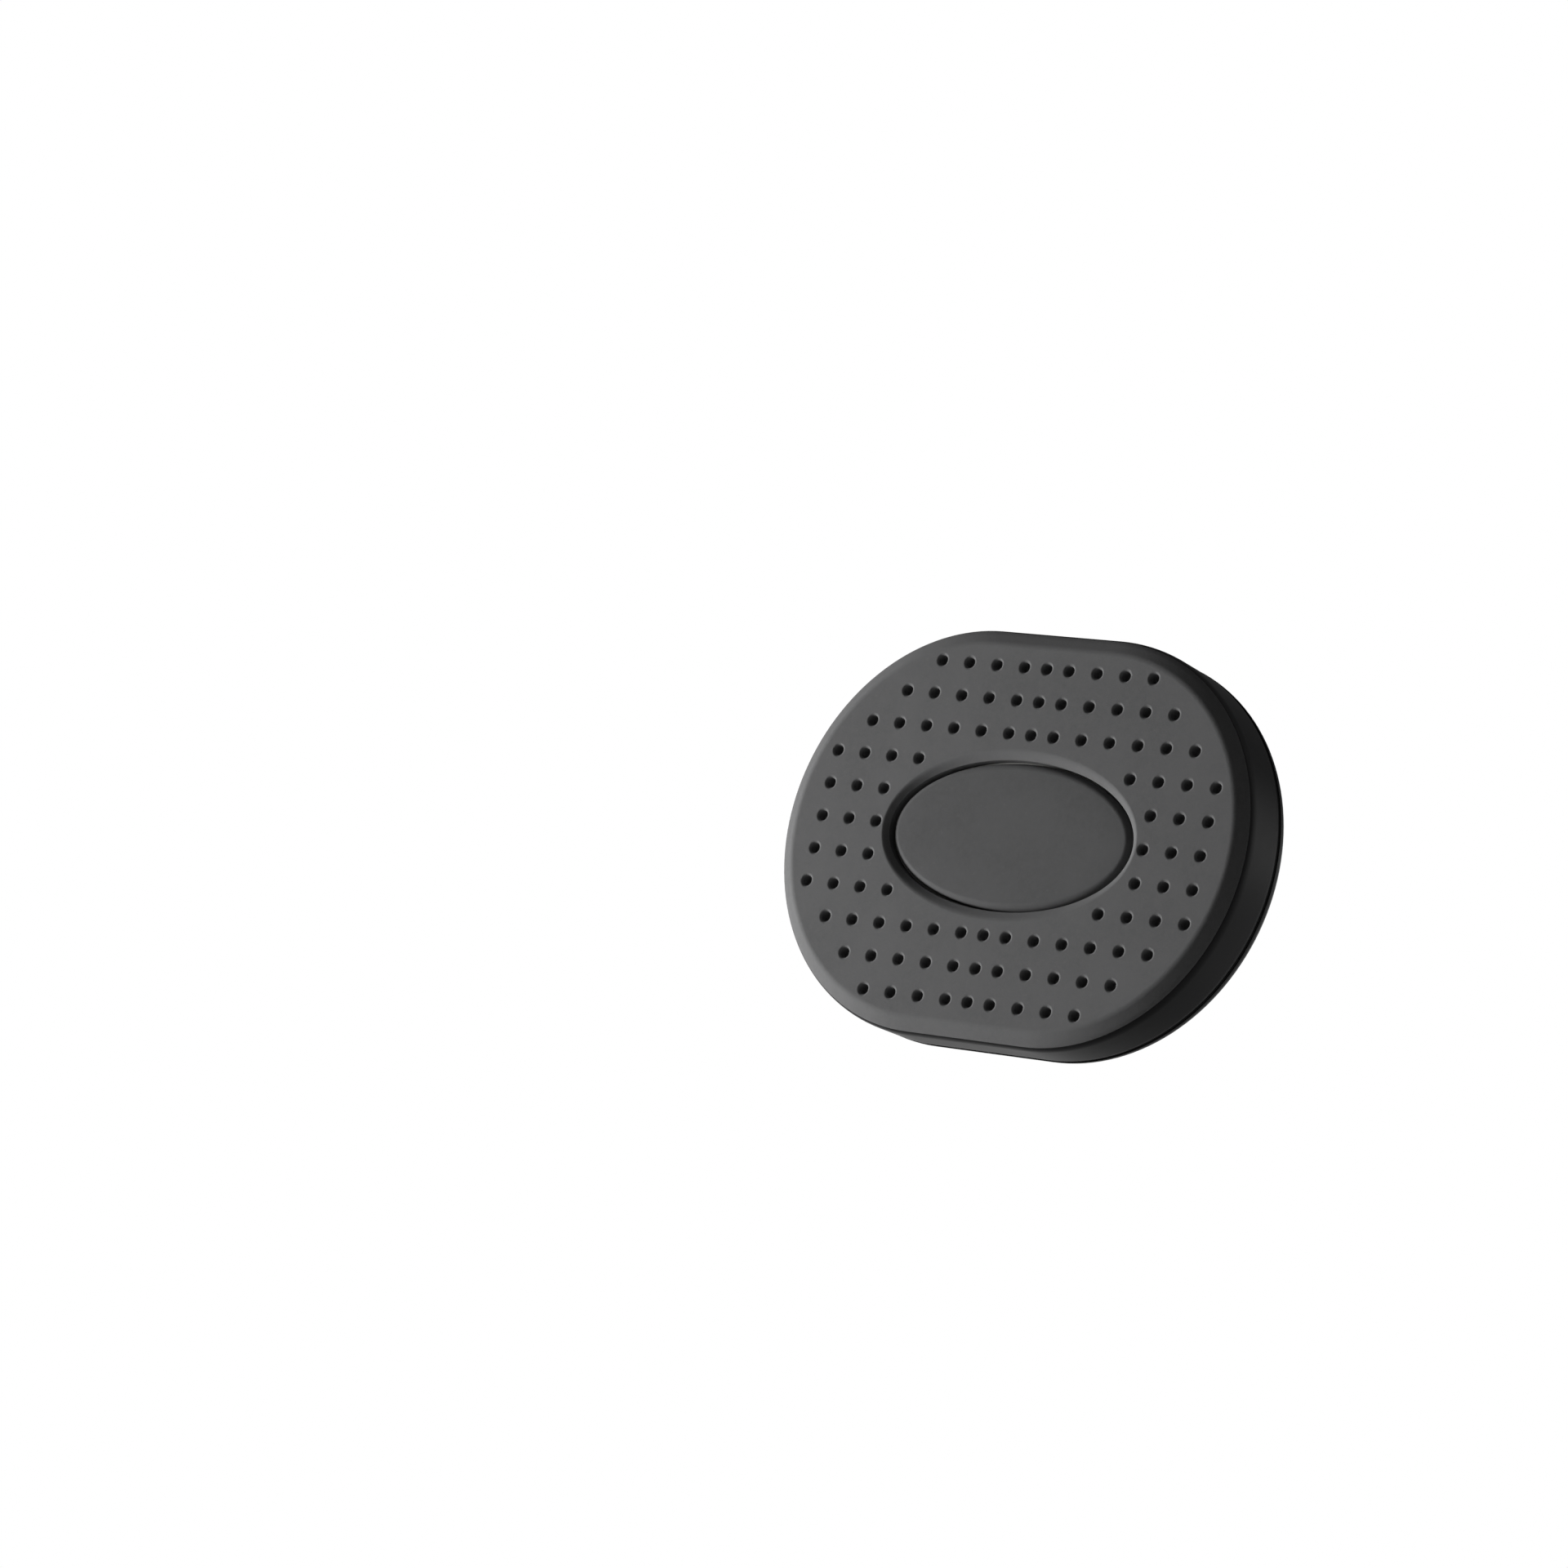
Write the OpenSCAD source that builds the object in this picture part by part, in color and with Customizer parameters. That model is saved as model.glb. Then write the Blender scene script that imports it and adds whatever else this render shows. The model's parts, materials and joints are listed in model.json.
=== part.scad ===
// Magnetic phone holder for a car's air vent: a pill-shaped magnetic head on a ball joint,
// carried by a four-finger clip that grips one vent slat.
// The origin is the middle of the slot that takes the slat, +Y points into the vent, +Z is up.

/* [Head] */
// Width of the head across its rounded ends
head_w = 57.6; // [54:0.1:64]
// Height of the head
head_h = 42.8; // [42:0.1:50]
// Depth of the front shell's side, from the rubber face to the parting line
wall_depth = 6.1; // [5.8:0.1:6.4]
// How much the side draws in towards the back
side_draft = 0.1; // [0.1:0.1:0.6]
// Wall thickness of the front shell at its back edge
shell_t = 1.4; // [1.1:0.1:1.6]
// Thickness of the web behind the rubber face
web_t = 0.9; // [0.7:0.1:1.2]
// Depth of the rear shell behind the parting line
dish_depth = 5; // [4.7:0.1:5.3]
// How much the rear shell draws in to its flat back
dish_taper = 4.4; // [3.8:0.1:4.6]
// Height of the rear shell's straight edge
dish_edge = 0.9; // [0.3:0.1:0.9]
// Thickness of the rear shell
back_t = 1.8; // [1.4:0.1:2]
// Rounding of the rear shell's edge
back_round = 1.2; // [0.6:0.1:1.4]
// Width of the shell's rim round the rubber face
rim_w = 0.6; // [0.6:0.1:1.1]
// Rounding of the rim's outer edge
rim_round = 0.5; // [0.3:0.1:0.6]
// How far the rim lies behind the rubber face
rim_drop = 0.8; // [0.4:0.1:1]

/* [Rubber face] */
// Thickness of the rubber pad
pad_t = 1.5; // [1.4:0.1:2]
// Rounding of the pad's edge
pad_round = 1; // [0.6:0.1:1.1]
// Gap between the pad and the rim
pad_gap = 0.3; // [0.3:0.05:0.6]
// Thickness of the adhesive sheet under the pad
tape_t = 0.15; // [0.1:0.05:0.3]
// Width of the oval badge's opening
oval_w = 30.1; // [20:0.1:32]
// Height of the oval badge's opening
oval_h = 15.7; // [10:0.1:17]
// Width of the bevel round the oval
oval_bevel = 1; // [0.6:0.1:1.4]
// Depth of the badge below the rubber face
badge_drop = 0.45; // [0.2:0.05:0.7]
// Gap round the badge
badge_gap = 0.15; // [0.05:0.05:0.3]
// Spacing of the dimples
dimple_pitch = 3.5; // [3:0.1:5]
// Spacing of the middle column of dimples from its neighbours
dimple_mid_pitch = 2.8; // [2.4:0.1:5]
// Diameter of a dimple
dimple_d = 1.2; // [0.8:0.1:1.6]
// Depth of a dimple
dimple_depth = 0.9; // [0.5:0.1:1.1]
// Distance from the pad's edge to the outermost dimple's centre
dimple_edge = 1.7; // [1.4:0.05:3]

/* [Magnets] */
// Diameter of each magnet
magnet_d = 9; // [7:0.5:9.5]
// Thickness of each magnet
magnet_t = 2; // [1.5:0.1:3]
// Distance from the head's end to the nearest magnet
magnet_end = 4.7; // [4.2:0.1:7]
// Distance from the head's top and bottom to the nearest magnet
magnet_side = 4.1; // [3.6:0.1:5]
// Gap between the two magnets of a pair
pair_gap = 5.4; // [3:0.1:7]
// Thickness of the steel plate behind the magnets
plate_t = 1; // [0.8:0.1:1.5]

/* [Ball joint] */
// Tilt of the head when it is as photographed
head_tilt = 22; // [0:1:30]
// Diameter of the ball
ball_d = 10; // [9:0.2:11]
// Diameter of the ball's neck
neck_d = 4; // [3.4:0.1:4.2]
// Thickness of the seat round the ball
seat_t = 0.9; // [0.7:0.05:1.1]
// Wall thickness of the socket
socket_t = 1.2; // [1:0.1:1.5]
// Angle from the neck to the edge of the socket's mouth
mouth_angle = 66; // [62:1:70]
// Width of the socket's flange
flange_w = 1.9; // [1.4:0.1:2.2]
// Thickness of the socket's flange
flange_t = 1.2; // [1:0.1:1.5]
// Thickness of the swivel washer
washer_t = 0.5; // [0.3:0.1:0.8]
// Wall thickness of the collar nut
nut_wall = 2.3; // [1.8:0.1:2.8]
// Thickness of the collar nut's lip
nut_lip = 1.4; // [1:0.1:1.8]
// Number of flutes round the collar nut
nut_flutes = 24; // [12:1:30]
// Radius of one flute
flute_r = 0.7; // [0.4:0.05:0.9]

/* [Clip] */
// Distance from the ball's centre to the stud's shoulder
neck_reach = 9.8; // [9.6:0.1:13]
// Width of the square hub
hub_w = 15.2; // [15:0.1:17]
// Length of the hub
hub_len = 4.6; // [4.4:0.1:6]
// Corner radius of the hub
hub_corner = 2; // [1:0.1:2.2]
// Diameter of a finger's round root
barrel_d = 3.4; // [2.8:0.1:3.6]
// Length of the rubber grips
grip_len = 8.9; // [7:0.1:14]
// Width across the grips at their tips
tip_w = 9.2; // [8.6:0.1:11]
// Width across the grips at their roots
grip_w = 14.2; // [13.8:0.1:15]
// Gap between the upper and lower ribs, where a slat goes in
slot_w = 1.4; // [0.8:0.1:2]
// Gap between the left and right fingers
side_slot_w = 1.2; // [0.8:0.1:2]
// Thickness of the rubber round each finger
rubber_t = 0.95; // [0.7:0.05:1.1]
// Number of ribs on each gripping face
rib_count = 6; // [3:1:9]
// Height of the ribs
rib_h = 0.35; // [0.2:0.05:0.5]

/* [Fasteners] */
// Shank diameter of the four shell screws
screw_d = 1.8; // [1.4:0.1:2]
// Head diameter of the four shell screws
screw_head_d = 3.6; // [3:0.1:3.8]
// Head thickness of every screw
screw_head_t = 1; // [0.8:0.05:1.2]
// Depth of the shell screws' heads below the back
screw_sink = 0.2; // [0.1:0.05:0.3]
// Shank diameter of the stud's screw
stud_screw_d = 2; // [1.6:0.1:2.2]
// Head diameter of the stud's screw
stud_head_d = 3.9; // [3.4:0.1:4.2]

/* [Hidden] */

// Smoothness of round parts, and points on each small arc and on the oval
$fn = 96;
arc_points = 5;
oval_points = 72;

// Clearances and the overrun of every cut
overrun = 1;
seat_gap = 0.1;
part_gap = 0.1;
spigot_gap = 0.15;
run_gap = 0.06;
ball_gap = 0.2;
thread_gap = 0.08;
slide_gap = 0.05;
hole_gap = 0.3;
screw_gap = 0.05;
nut_gap = 0.4;
lip_gap = 0.15;
barrel_gap = 0.15;
band_gap = 0.4;

// Ball joint, measured from the ball's centre, plus towards the face
seat_in = ball_d / 2 + ball_gap;
seat_out = seat_in + seat_t;
socket_in = seat_out + ball_gap;
socket_r = socket_in + socket_t;
socket_back = -socket_in * cos(mouth_angle);
mouth_r = socket_in * sin(mouth_angle);
flange_drop = 0.9;
flange_front = socket_r - flange_drop;
flange_back = flange_front - flange_t;
flange_r = socket_r + flange_w;
collet_slot_w = 0.9;
collet_slot_len = 3.6;
seat_front_hole_r = 1.8;

// Layers of the head, from the socket to the rubber face
washer_back = flange_front + slide_gap;
plate_back = washer_back + washer_t + slide_gap;
plate_front = plate_back + plate_t;
magnet_front = plate_front + magnet_t;
web_back = magnet_front + seat_gap;
web_front = web_back + web_t;
tape_front = web_front + tape_t;
face_z = tape_front + pad_t;
badge_front = face_z - badge_drop;
rim_front = face_z - rim_drop;
rim_back = face_z - wall_depth;
back_z = rim_back - dish_depth;

// Outlines of the head: rounded ends joined by a straight middle
end_r = head_h / 2;
middle_w = head_w - head_h;
back_r = end_r - side_draft;
inner_r = back_r - shell_t;
pocket_r = end_r - rim_w;
pad_r = pocket_r - pad_gap;
dimple_floor = 0.8;
spigot_t = 1.3;
spigot_out = inner_r - spigot_gap;
spigot_in = spigot_out - spigot_t;
spigot_front = plate_front - seat_gap;
tray_r = inner_r - hole_gap;
plate_r = spigot_in - hole_gap;

// Rear shell: a straight edge, then a cone that leans by cone_angle from the flat back
flat_r = back_r - dish_taper;
cone_front = rim_back - dish_edge;
cone_angle = atan2(cone_front - back_z, dish_taper);
floor_z = back_z + back_t;
floor_r = flat_r - back_t * tan(cone_angle / 2);

// Boss round the socket, screw posts and magnet places
boss_wall = 2.2;
boss_front = flange_back - slide_gap;
boss_in = socket_r + run_gap;
boss_out = boss_in + boss_wall;
plate_hole_r = socket_r + hole_gap;
washer_in = plate_hole_r;
post_d = 4.4;
post_angle = 44;
screw_edge = 1.05;
post_ring = flat_r - screw_head_d / 2 - screw_edge;
post_x = middle_w / 2 + post_ring * cos(post_angle);
post_y = post_ring * sin(post_angle);
post_back = boss_front + seat_gap;
screw_boss_d = 5.2;
screw_len = 6.4;
side_magnet_x = head_w / 2 - magnet_end - magnet_d / 2;
pair_magnet_x = (magnet_d + pair_gap) / 2;
pair_magnet_y = head_h / 2 - magnet_side - magnet_d / 2;
magnet_places = [[-side_magnet_x, 0], [side_magnet_x, 0],
    [-pair_magnet_x, -pair_magnet_y], [pair_magnet_x, -pair_magnet_y],
    [-pair_magnet_x, pair_magnet_y], [pair_magnet_x, pair_magnet_y]];

// Collar nut
nut_in = socket_r + thread_gap;
nut_out = nut_in + nut_wall;
nut_front = back_z - nut_gap;
lip_front = socket_back - lip_gap;
nut_back = lip_front - nut_lip;
lip_flare = 1.2;
lip_in = mouth_r + lip_gap;
nut_round = 1;

// Stud and hub, behind the ball
shoulder_r = 3.6;
shoulder_t = 1;
shoulder_flare = 1.2;
hub_front = -neck_reach - shoulder_t;
hub_back = hub_front - hub_len;
shank_r = 2.2;
shank_len = 1.8;
shank_back = hub_front - shank_len;
hub_web_t = 1.2;
pocket_front = shank_back - hub_web_t;
stud_pocket_r = stud_head_d / 2 + hole_gap;
stud_screw_len = 6.2;
stud_hole_end = 0.4;
driver_w = 0.6;
driver_depth = 0.6;

// Fingers: a round root in the hub's trough, a bare neck under the band, a rubber-covered end,
// whose outer corner reaches the given share of its half width
root_wrap = 0.8;
barrel_z = hub_back + root_wrap;
trough_wall = 0.75;
trough_r = barrel_d / 2 + barrel_gap;
barrel_y = stud_pocket_r + trough_wall + trough_r;
trough_half = barrel_y + trough_r - barrel_gap;
barrel_in = side_slot_w / 2 + seat_gap;
barrel_out = trough_half - barrel_gap;
neck_t = 2.3;
neck_drop = 0.4;
neck_in = barrel_y - barrel_d / 2 + neck_drop;
neck_out = neck_in + neck_t;
band_t = 1;
band_len = 1.2;
band_front = barrel_z - barrel_d / 2 - hole_gap;
band_in = neck_out + band_gap;
band_corner = 2.4;
grip_front = band_front - band_len - 2 * hole_gap;
grip_back = grip_front - grip_len;
core_tip = grip_back + rubber_t;
rib_pitch = grip_len / rib_count;
grip_base = slot_w / 2 + rib_h;
rib_root = grip_base + rubber_t / 2;
core_in = grip_base + rubber_t;
core_side_in = side_slot_w / 2 + rubber_t;
corner_share = 1.27;
neck_corner_r = neck_out * corner_share;
tip_chamfer = 1;
slot_reach = -(grip_front + grip_back) / 2;

// Head pieces turn with the head's tilt, clip pieces stay level; +Z is to the front in both
module at_head() {
    translate([0, -slot_reach, 0])
        rotate([90 - head_tilt, 0, 0])
            children();
}

module at_clip() {
    translate([0, -slot_reach, 0])
        rotate([90, 0, 0])
            children();
}

// Points of an arc about [x, y] from angle a to angle b
function arc(x, y, r, a, b) = [for (i = [0 : arc_points])
    let (t = a + (b - a) * i / arc_points) [x + r * cos(t), y + r * sin(t)]];

// A pill-shaped solid whose half section, drawn from the middle of an end, is the child
module pill() {
    translate([middle_w / 2, 0, 0])
        rotate([0, 0, -90])
            rotate_extrude(angle = 180)
                children();
    translate([-middle_w / 2, 0, 0])
        rotate([0, 0, 90])
            rotate_extrude(angle = 180)
                children();
    rotate([90, 0, 90])
        translate([0, 0, -middle_w / 2])
            linear_extrude(middle_w) {
                children();
                mirror([1, 0])
                    children();
            }
}

// A flat pill-shaped plate between two heights
module pill_plate(r, back, front) {
    pill()
        translate([0, back])
            square([r, front - back]);
}

// A round bar or hole between two heights
module bar(r, back, front) {
    translate([0, 0, back])
        cylinder(r = r, h = front - back);
}

// The four corners that the posts and their screws share
module at_posts() {
    for (x = [-post_x, post_x], y = [-post_y, post_y])
        translate([x, y, 0])
            children();
}

module at_magnets() {
    for (place = magnet_places)
        translate([place[0], place[1], 0])
            children();
}

// An ellipse with the given half widths
module oval(a, b) {
    polygon([for (i = [0 : oval_points - 1])
        let (t = 360 * i / oval_points) [a * cos(t), b * sin(t)]]);
}

// Dimple places: an even grid, closer in the middle, inside the edge and outside the oval
dimple_steps = ceil(head_w / 2 / dimple_pitch);
function column_x(i) = i == 0 ? 0 : sign(i) * (dimple_mid_pitch + (abs(i) - 1) * dimple_pitch);
function end_distance(x, y) = norm([max(abs(x) - middle_w / 2, 0), y]);
function oval_distance(x, y) = norm([
    x / (oval_w / 2 + oval_bevel + dimple_d / 2),
    y / (oval_h / 2 + oval_bevel + dimple_d / 2)]);
dimple_places = [for (j = [-dimple_steps : dimple_steps], i = [-dimple_steps : dimple_steps])
    let (x = column_x(i), y = j * dimple_pitch)
    if (end_distance(x, y) <= pad_r - dimple_edge && oval_distance(x, y) > 1) [x, y]];

module grip_pad() {
    color("#3c3c3e")
        at_head()
            difference() {
                pill()
                    polygon(concat(
                        [[0, tape_front], [pad_r, tape_front]],
                        arc(pad_r - pad_round, face_z - pad_round, pad_round, 0, 90),
                        [[0, face_z]]));
                translate([0, 0, tape_front - overrun])
                    linear_extrude(pad_t + 2 * overrun)
                        oval(oval_w / 2, oval_h / 2);
                hull() {
                    translate([0, 0, badge_front])
                        linear_extrude(badge_drop / 2)
                            oval(oval_w / 2, oval_h / 2);
                    translate([0, 0, face_z])
                        linear_extrude(overrun)
                            oval(oval_w / 2 + oval_bevel, oval_h / 2 + oval_bevel);
                }
                for (place = dimple_places)
                    translate([place[0], place[1], face_z - dimple_depth])
                        cylinder(d1 = dimple_d * dimple_floor, d2 = dimple_d,
                            h = dimple_depth, $fn = 24);
            }
}

module centre_badge() {
    color("#333335")
        at_head()
            translate([0, 0, tape_front])
                linear_extrude(badge_front - tape_front)
                    oval(oval_w / 2 - badge_gap, oval_h / 2 - badge_gap);
}

module pad_tape() {
    color("#8a8a86")
        at_head()
            pill_plate(pad_r - pad_gap, web_front, tape_front);
}

module front_shell() {
    color("#262628")
        at_head()
            difference() {
                union() {
                    difference() {
                        pill()
                            polygon(concat(
                                [[0, rim_back], [back_r, rim_back]],
                                arc(end_r - rim_round, rim_front - rim_round, rim_round, 0, 90),
                                [[0, rim_front]]));
                        pill_plate(pocket_r, web_front, rim_front + overrun);
                        pill_plate(inner_r, rim_back - overrun, web_back);
                    }
                    at_posts()
                        bar(post_d / 2, post_back, web_back + web_t / 2);
                }
                at_posts()
                    bar(screw_d / 2 + screw_gap, post_back - overrun, web_back);
            }
}

module magnet_tray() {
    color("#55585c")
        at_head()
            difference() {
                pill_plate(tray_r, plate_front, magnet_front);
                at_posts()
                    bar(post_d / 2 + hole_gap, plate_front - overrun, magnet_front + overrun);
                at_magnets()
                    bar(magnet_d / 2 + seat_gap, plate_front - overrun, magnet_front + overrun);
            }
}

module magnets() {
    color("#c9cbd0")
        at_head()
            at_magnets()
                bar(magnet_d / 2, plate_front, magnet_front);
}

module steel_plate() {
    color("#9fa3a8")
        at_head()
            difference() {
                pill_plate(plate_r, plate_back, plate_front);
                at_posts()
                    bar(post_d / 2 + hole_gap, plate_back - overrun, plate_front + overrun);
                bar(plate_hole_r, plate_back - overrun, plate_front + overrun);
            }
}

module rear_shell() {
    color("#28282a")
        at_head()
            difference() {
                union() {
                    pill()
                        polygon(concat(
                            [[0, back_z]],
                            arc(flat_r - back_round * tan(cone_angle / 2), back_z + back_round,
                                back_round, -90, cone_angle - 90),
                            [[back_r, cone_front],
                                [back_r, rim_back - part_gap],
                                [spigot_out, rim_back - part_gap],
                                [spigot_out, spigot_front],
                                [spigot_in, spigot_front],
                                [spigot_in, floor_z + (spigot_in - floor_r) * tan(cone_angle)],
                                [floor_r, floor_z],
                                [0, floor_z]]));
                    bar(boss_out, back_z + back_t / 2, boss_front);
                    at_posts()
                        bar(screw_boss_d / 2, back_z + back_t / 2, boss_front);
                }
                bar(boss_in, back_z - overrun, boss_front + overrun);
                at_posts() {
                    bar(screw_d / 2 + screw_gap, back_z - overrun, boss_front + overrun);
                    bar(screw_head_d / 2 + hole_gap / 2, back_z - overrun,
                        back_z + screw_sink + screw_head_t);
                }
            }
}

// A cross recess for a driver, cut into a head that faces -Z
module driver_cross(head_d, head_back) {
    for (turn = [0, 90])
        rotate([0, 0, turn])
            translate([-head_d / 3, -driver_w / 2, head_back - overrun])
                cube([2 * head_d / 3, driver_w, driver_depth + overrun]);
}

module shell_screws() {
    color("#5c5e62")
        at_head()
            at_posts()
                difference() {
                    union() {
                        bar(screw_head_d / 2, back_z + screw_sink,
                            back_z + screw_sink + screw_head_t);
                        bar(screw_d / 2, back_z + screw_sink, back_z + screw_sink + screw_len);
                    }
                    driver_cross(screw_head_d, back_z + screw_sink);
                }
}

module swivel_washer() {
    color("#b4b6ba")
        at_head()
            difference() {
                bar(flange_r, washer_back, washer_back + washer_t);
                bar(washer_in, washer_back - overrun, washer_back + washer_t + overrun);
            }
}

module ball_socket() {
    color("#1f1f21")
        at_head()
            difference() {
                union() {
                    bar(socket_r, socket_back, socket_r);
                    bar(flange_r, flange_back, flange_front);
                }
                sphere(r = socket_in);
                for (turn = [45, 135])
                    rotate([0, 0, turn])
                        translate([-socket_r - overrun, -collet_slot_w / 2, socket_back - overrun])
                            cube([2 * (socket_r + overrun), collet_slot_w,
                                collet_slot_len + overrun]);
            }
}

module ball_seat() {
    color("#e4e2da")
        at_clip()
            difference() {
                sphere(r = seat_out);
                sphere(r = seat_in);
                bar(seat_front_hole_r, 0, seat_out + overrun);
                bar(seat_out + overrun, -seat_out - overrun, -seat_out * cos(mouth_angle));
            }
}

module collar_nut() {
    color("#232325")
        at_head()
            difference() {
                rotate_extrude()
                    polygon([
                        [nut_in, nut_front],
                        [nut_out - nut_round, nut_front],
                        [nut_out, nut_front - nut_round],
                        [nut_out, nut_back + nut_round],
                        [nut_out - nut_round, nut_back],
                        [lip_in + lip_flare, nut_back],
                        [lip_in, nut_back + lip_flare],
                        [lip_in, lip_front],
                        [nut_in, lip_front]]);
                for (i = [0 : nut_flutes - 1])
                    rotate([0, 0, 360 * i / nut_flutes])
                        translate([nut_out + flute_r / 3, 0, nut_back - overrun])
                            cylinder(r = flute_r, h = nut_front - nut_back + 2 * overrun, $fn = 32);
            }
}

module ball_stud() {
    color("#c4c6ca")
        at_clip()
            difference() {
                union() {
                    sphere(d = ball_d);
                    bar(neck_d / 2, -neck_reach, 0);
                    translate([0, 0, -neck_reach])
                        cylinder(r1 = neck_d / 2 + shoulder_flare, r2 = neck_d / 2,
                            h = shoulder_flare);
                    bar(shoulder_r, hub_front, -neck_reach);
                    bar(shank_r, shank_back, hub_front);
                }
                bar(stud_screw_d / 2 + screw_gap, shank_back - overrun,
                    pocket_front + stud_screw_len + stud_hole_end);
            }
}

// A square with rounded corners
module round_square(w, r) {
    polygon(concat(
        arc(w / 2 - r, w / 2 - r, r, 0, 90),
        arc(r - w / 2, w / 2 - r, r, 90, 180),
        arc(r - w / 2, r - w / 2, r, 180, 270),
        arc(w / 2 - r, r - w / 2, r, 270, 360)));
}

module clip_hub() {
    color("#252527")
        at_clip()
            difference() {
                translate([0, 0, hub_back])
                    linear_extrude(hub_len)
                        round_square(hub_w, hub_corner);
                bar(shank_r + screw_gap, shank_back, hub_front + overrun);
                bar(stud_screw_d / 2 + screw_gap, hub_back - overrun, hub_front + overrun);
                bar(stud_pocket_r, hub_back - overrun, pocket_front);
                for (side = [-1, 1])
                    translate([-trough_half, side * barrel_y, barrel_z])
                        rotate([0, 90, 0])
                            cylinder(r = trough_r, h = 2 * trough_half);
            }
}

module stud_screw() {
    color("#8d9095")
        at_clip()
            difference() {
                union() {
                    bar(stud_head_d / 2, pocket_front - screw_head_t, pocket_front);
                    bar(stud_screw_d / 2, pocket_front - screw_head_t,
                        pocket_front + stud_screw_len);
                }
                driver_cross(stud_head_d, pocket_front - screw_head_t);
            }
}

module closing_band() {
    color("#2f2f31")
        at_clip()
            translate([0, 0, band_front - band_len])
                linear_extrude(band_len)
                    difference() {
                        round_square(2 * (band_in + band_t), band_corner);
                        round_square(2 * band_in, band_corner - band_t);
                    }
}

// Half widths of a grip's outside at a height between its root and its tip
function grip_half(z) = grip_w / 2 + (tip_w - grip_w) / 2 * (grip_front - z) / grip_len;

// One quarter of the tapered clip, from low to high, less an inset on its outer sides
module quarter(low_x, low_y, back, front, inset) {
    intersection() {
        rotate([90, 0, 90])
            linear_extrude(grip_w)
                polygon([[low_y, front], [low_y, back],
                    [grip_half(back) - inset - tip_chamfer, back],
                    [grip_half(back + tip_chamfer) - inset, back + tip_chamfer],
                    [grip_half(front) - inset, front]]);
        mirror([0, 1, 0])
            rotate([90, 0, 0])
                linear_extrude(grip_w)
                    polygon([[low_x, front], [low_x, back],
                        [grip_half(back) - inset - tip_chamfer, back],
                        [grip_half(back + tip_chamfer) - inset, back + tip_chamfer],
                        [grip_half(front) - inset, front]]);
        translate([0, 0, back])
            cylinder(r1 = (grip_half(back) - inset) * corner_share,
                r2 = (grip_half(front) - inset) * corner_share, h = front - back);
    }
}

// The stiff core of the upper right finger
module finger_core() {
    translate([barrel_in, barrel_y, barrel_z])
        rotate([0, 90, 0])
            cylinder(d = barrel_d, h = barrel_out - barrel_in);
    intersection() {
        translate([barrel_in, neck_in, grip_front])
            cube([neck_out - barrel_in, neck_t, barrel_z - grip_front]);
        bar(neck_corner_r, grip_front, barrel_z);
    }
    quarter(core_side_in, core_in, core_tip, grip_front, rubber_t);
}

// The rubber cover of the upper right finger, with ribs across its gripping face
module finger_grip() {
    difference() {
        union() {
            quarter(side_slot_w / 2, grip_base, grip_back, grip_front, 0);
            translate([side_slot_w / 2, 0, grip_front])
                rotate([90, 0, 90])
                    linear_extrude(grip_half(grip_back) - tip_chamfer - side_slot_w / 2)
                        polygon(concat(
                            [[rib_root, -rib_pitch / 2]],
                            [for (k = [1 : 2 * rib_count - 1])
                                [grip_base - (k % 2 == 0 ? rib_h : 0), -k * rib_pitch / 2]],
                            [[rib_root, rib_pitch / 2 - grip_len]]));
        }
        quarter(core_side_in, core_in, core_tip, grip_front + overrun, rubber_t);
    }
}

// Puts a piece of the upper right finger at any of the four corners
module at_corner(x_side, y_side) {
    at_clip()
        mirror([x_side < 0 ? 1 : 0, 0, 0])
            mirror([0, y_side < 0 ? 1 : 0, 0])
                children();
}

module finger_piece(x_side, y_side) {
    color("#2c2c2e")
        at_corner(x_side, y_side)
            finger_core();
}

module grip_piece(x_side, y_side) {
    color("#383839")
        at_corner(x_side, y_side)
            finger_grip();
}

module finger_upper_right() {
    finger_piece(1, 1);
}

module grip_upper_right() {
    grip_piece(1, 1);
}

module finger_upper_left() {
    finger_piece(-1, 1);
}

module grip_upper_left() {
    grip_piece(-1, 1);
}

module finger_lower_right() {
    finger_piece(1, -1);
}

module grip_lower_right() {
    grip_piece(1, -1);
}

module finger_lower_left() {
    finger_piece(-1, -1);
}

module grip_lower_left() {
    grip_piece(-1, -1);
}

grip_pad();
centre_badge();
pad_tape();
front_shell();
magnet_tray();
magnets();
steel_plate();
rear_shell();
shell_screws();
swivel_washer();
ball_socket();
ball_seat();
collar_nut();
ball_stud();
clip_hub();
stud_screw();
closing_band();
finger_upper_right();
grip_upper_right();
finger_upper_left();
grip_upper_left();
finger_lower_right();
grip_lower_right();
finger_lower_left();
grip_lower_left();
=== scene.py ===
"""Looks of a magnetic phone holder for a car's air vent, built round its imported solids.

Points are in metres, and lengths in the settings and finishes are written in millimetres. The
head's pieces are worked out in the head's own frame (x along its width, y up its face, z out of
the face, from the ball's centre) and the clip's pieces in the clip's frame (x, y up, z to the
front, from the same centre), then placed in the row frame.
"""

import json
import math

import bmesh
import bpy
import numpy as np
from bpy.props import (
    FloatProperty, FloatVectorProperty, IntProperty, PointerProperty)
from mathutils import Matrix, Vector
from mathutils.geometry import delaunay_2d_cdt


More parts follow.
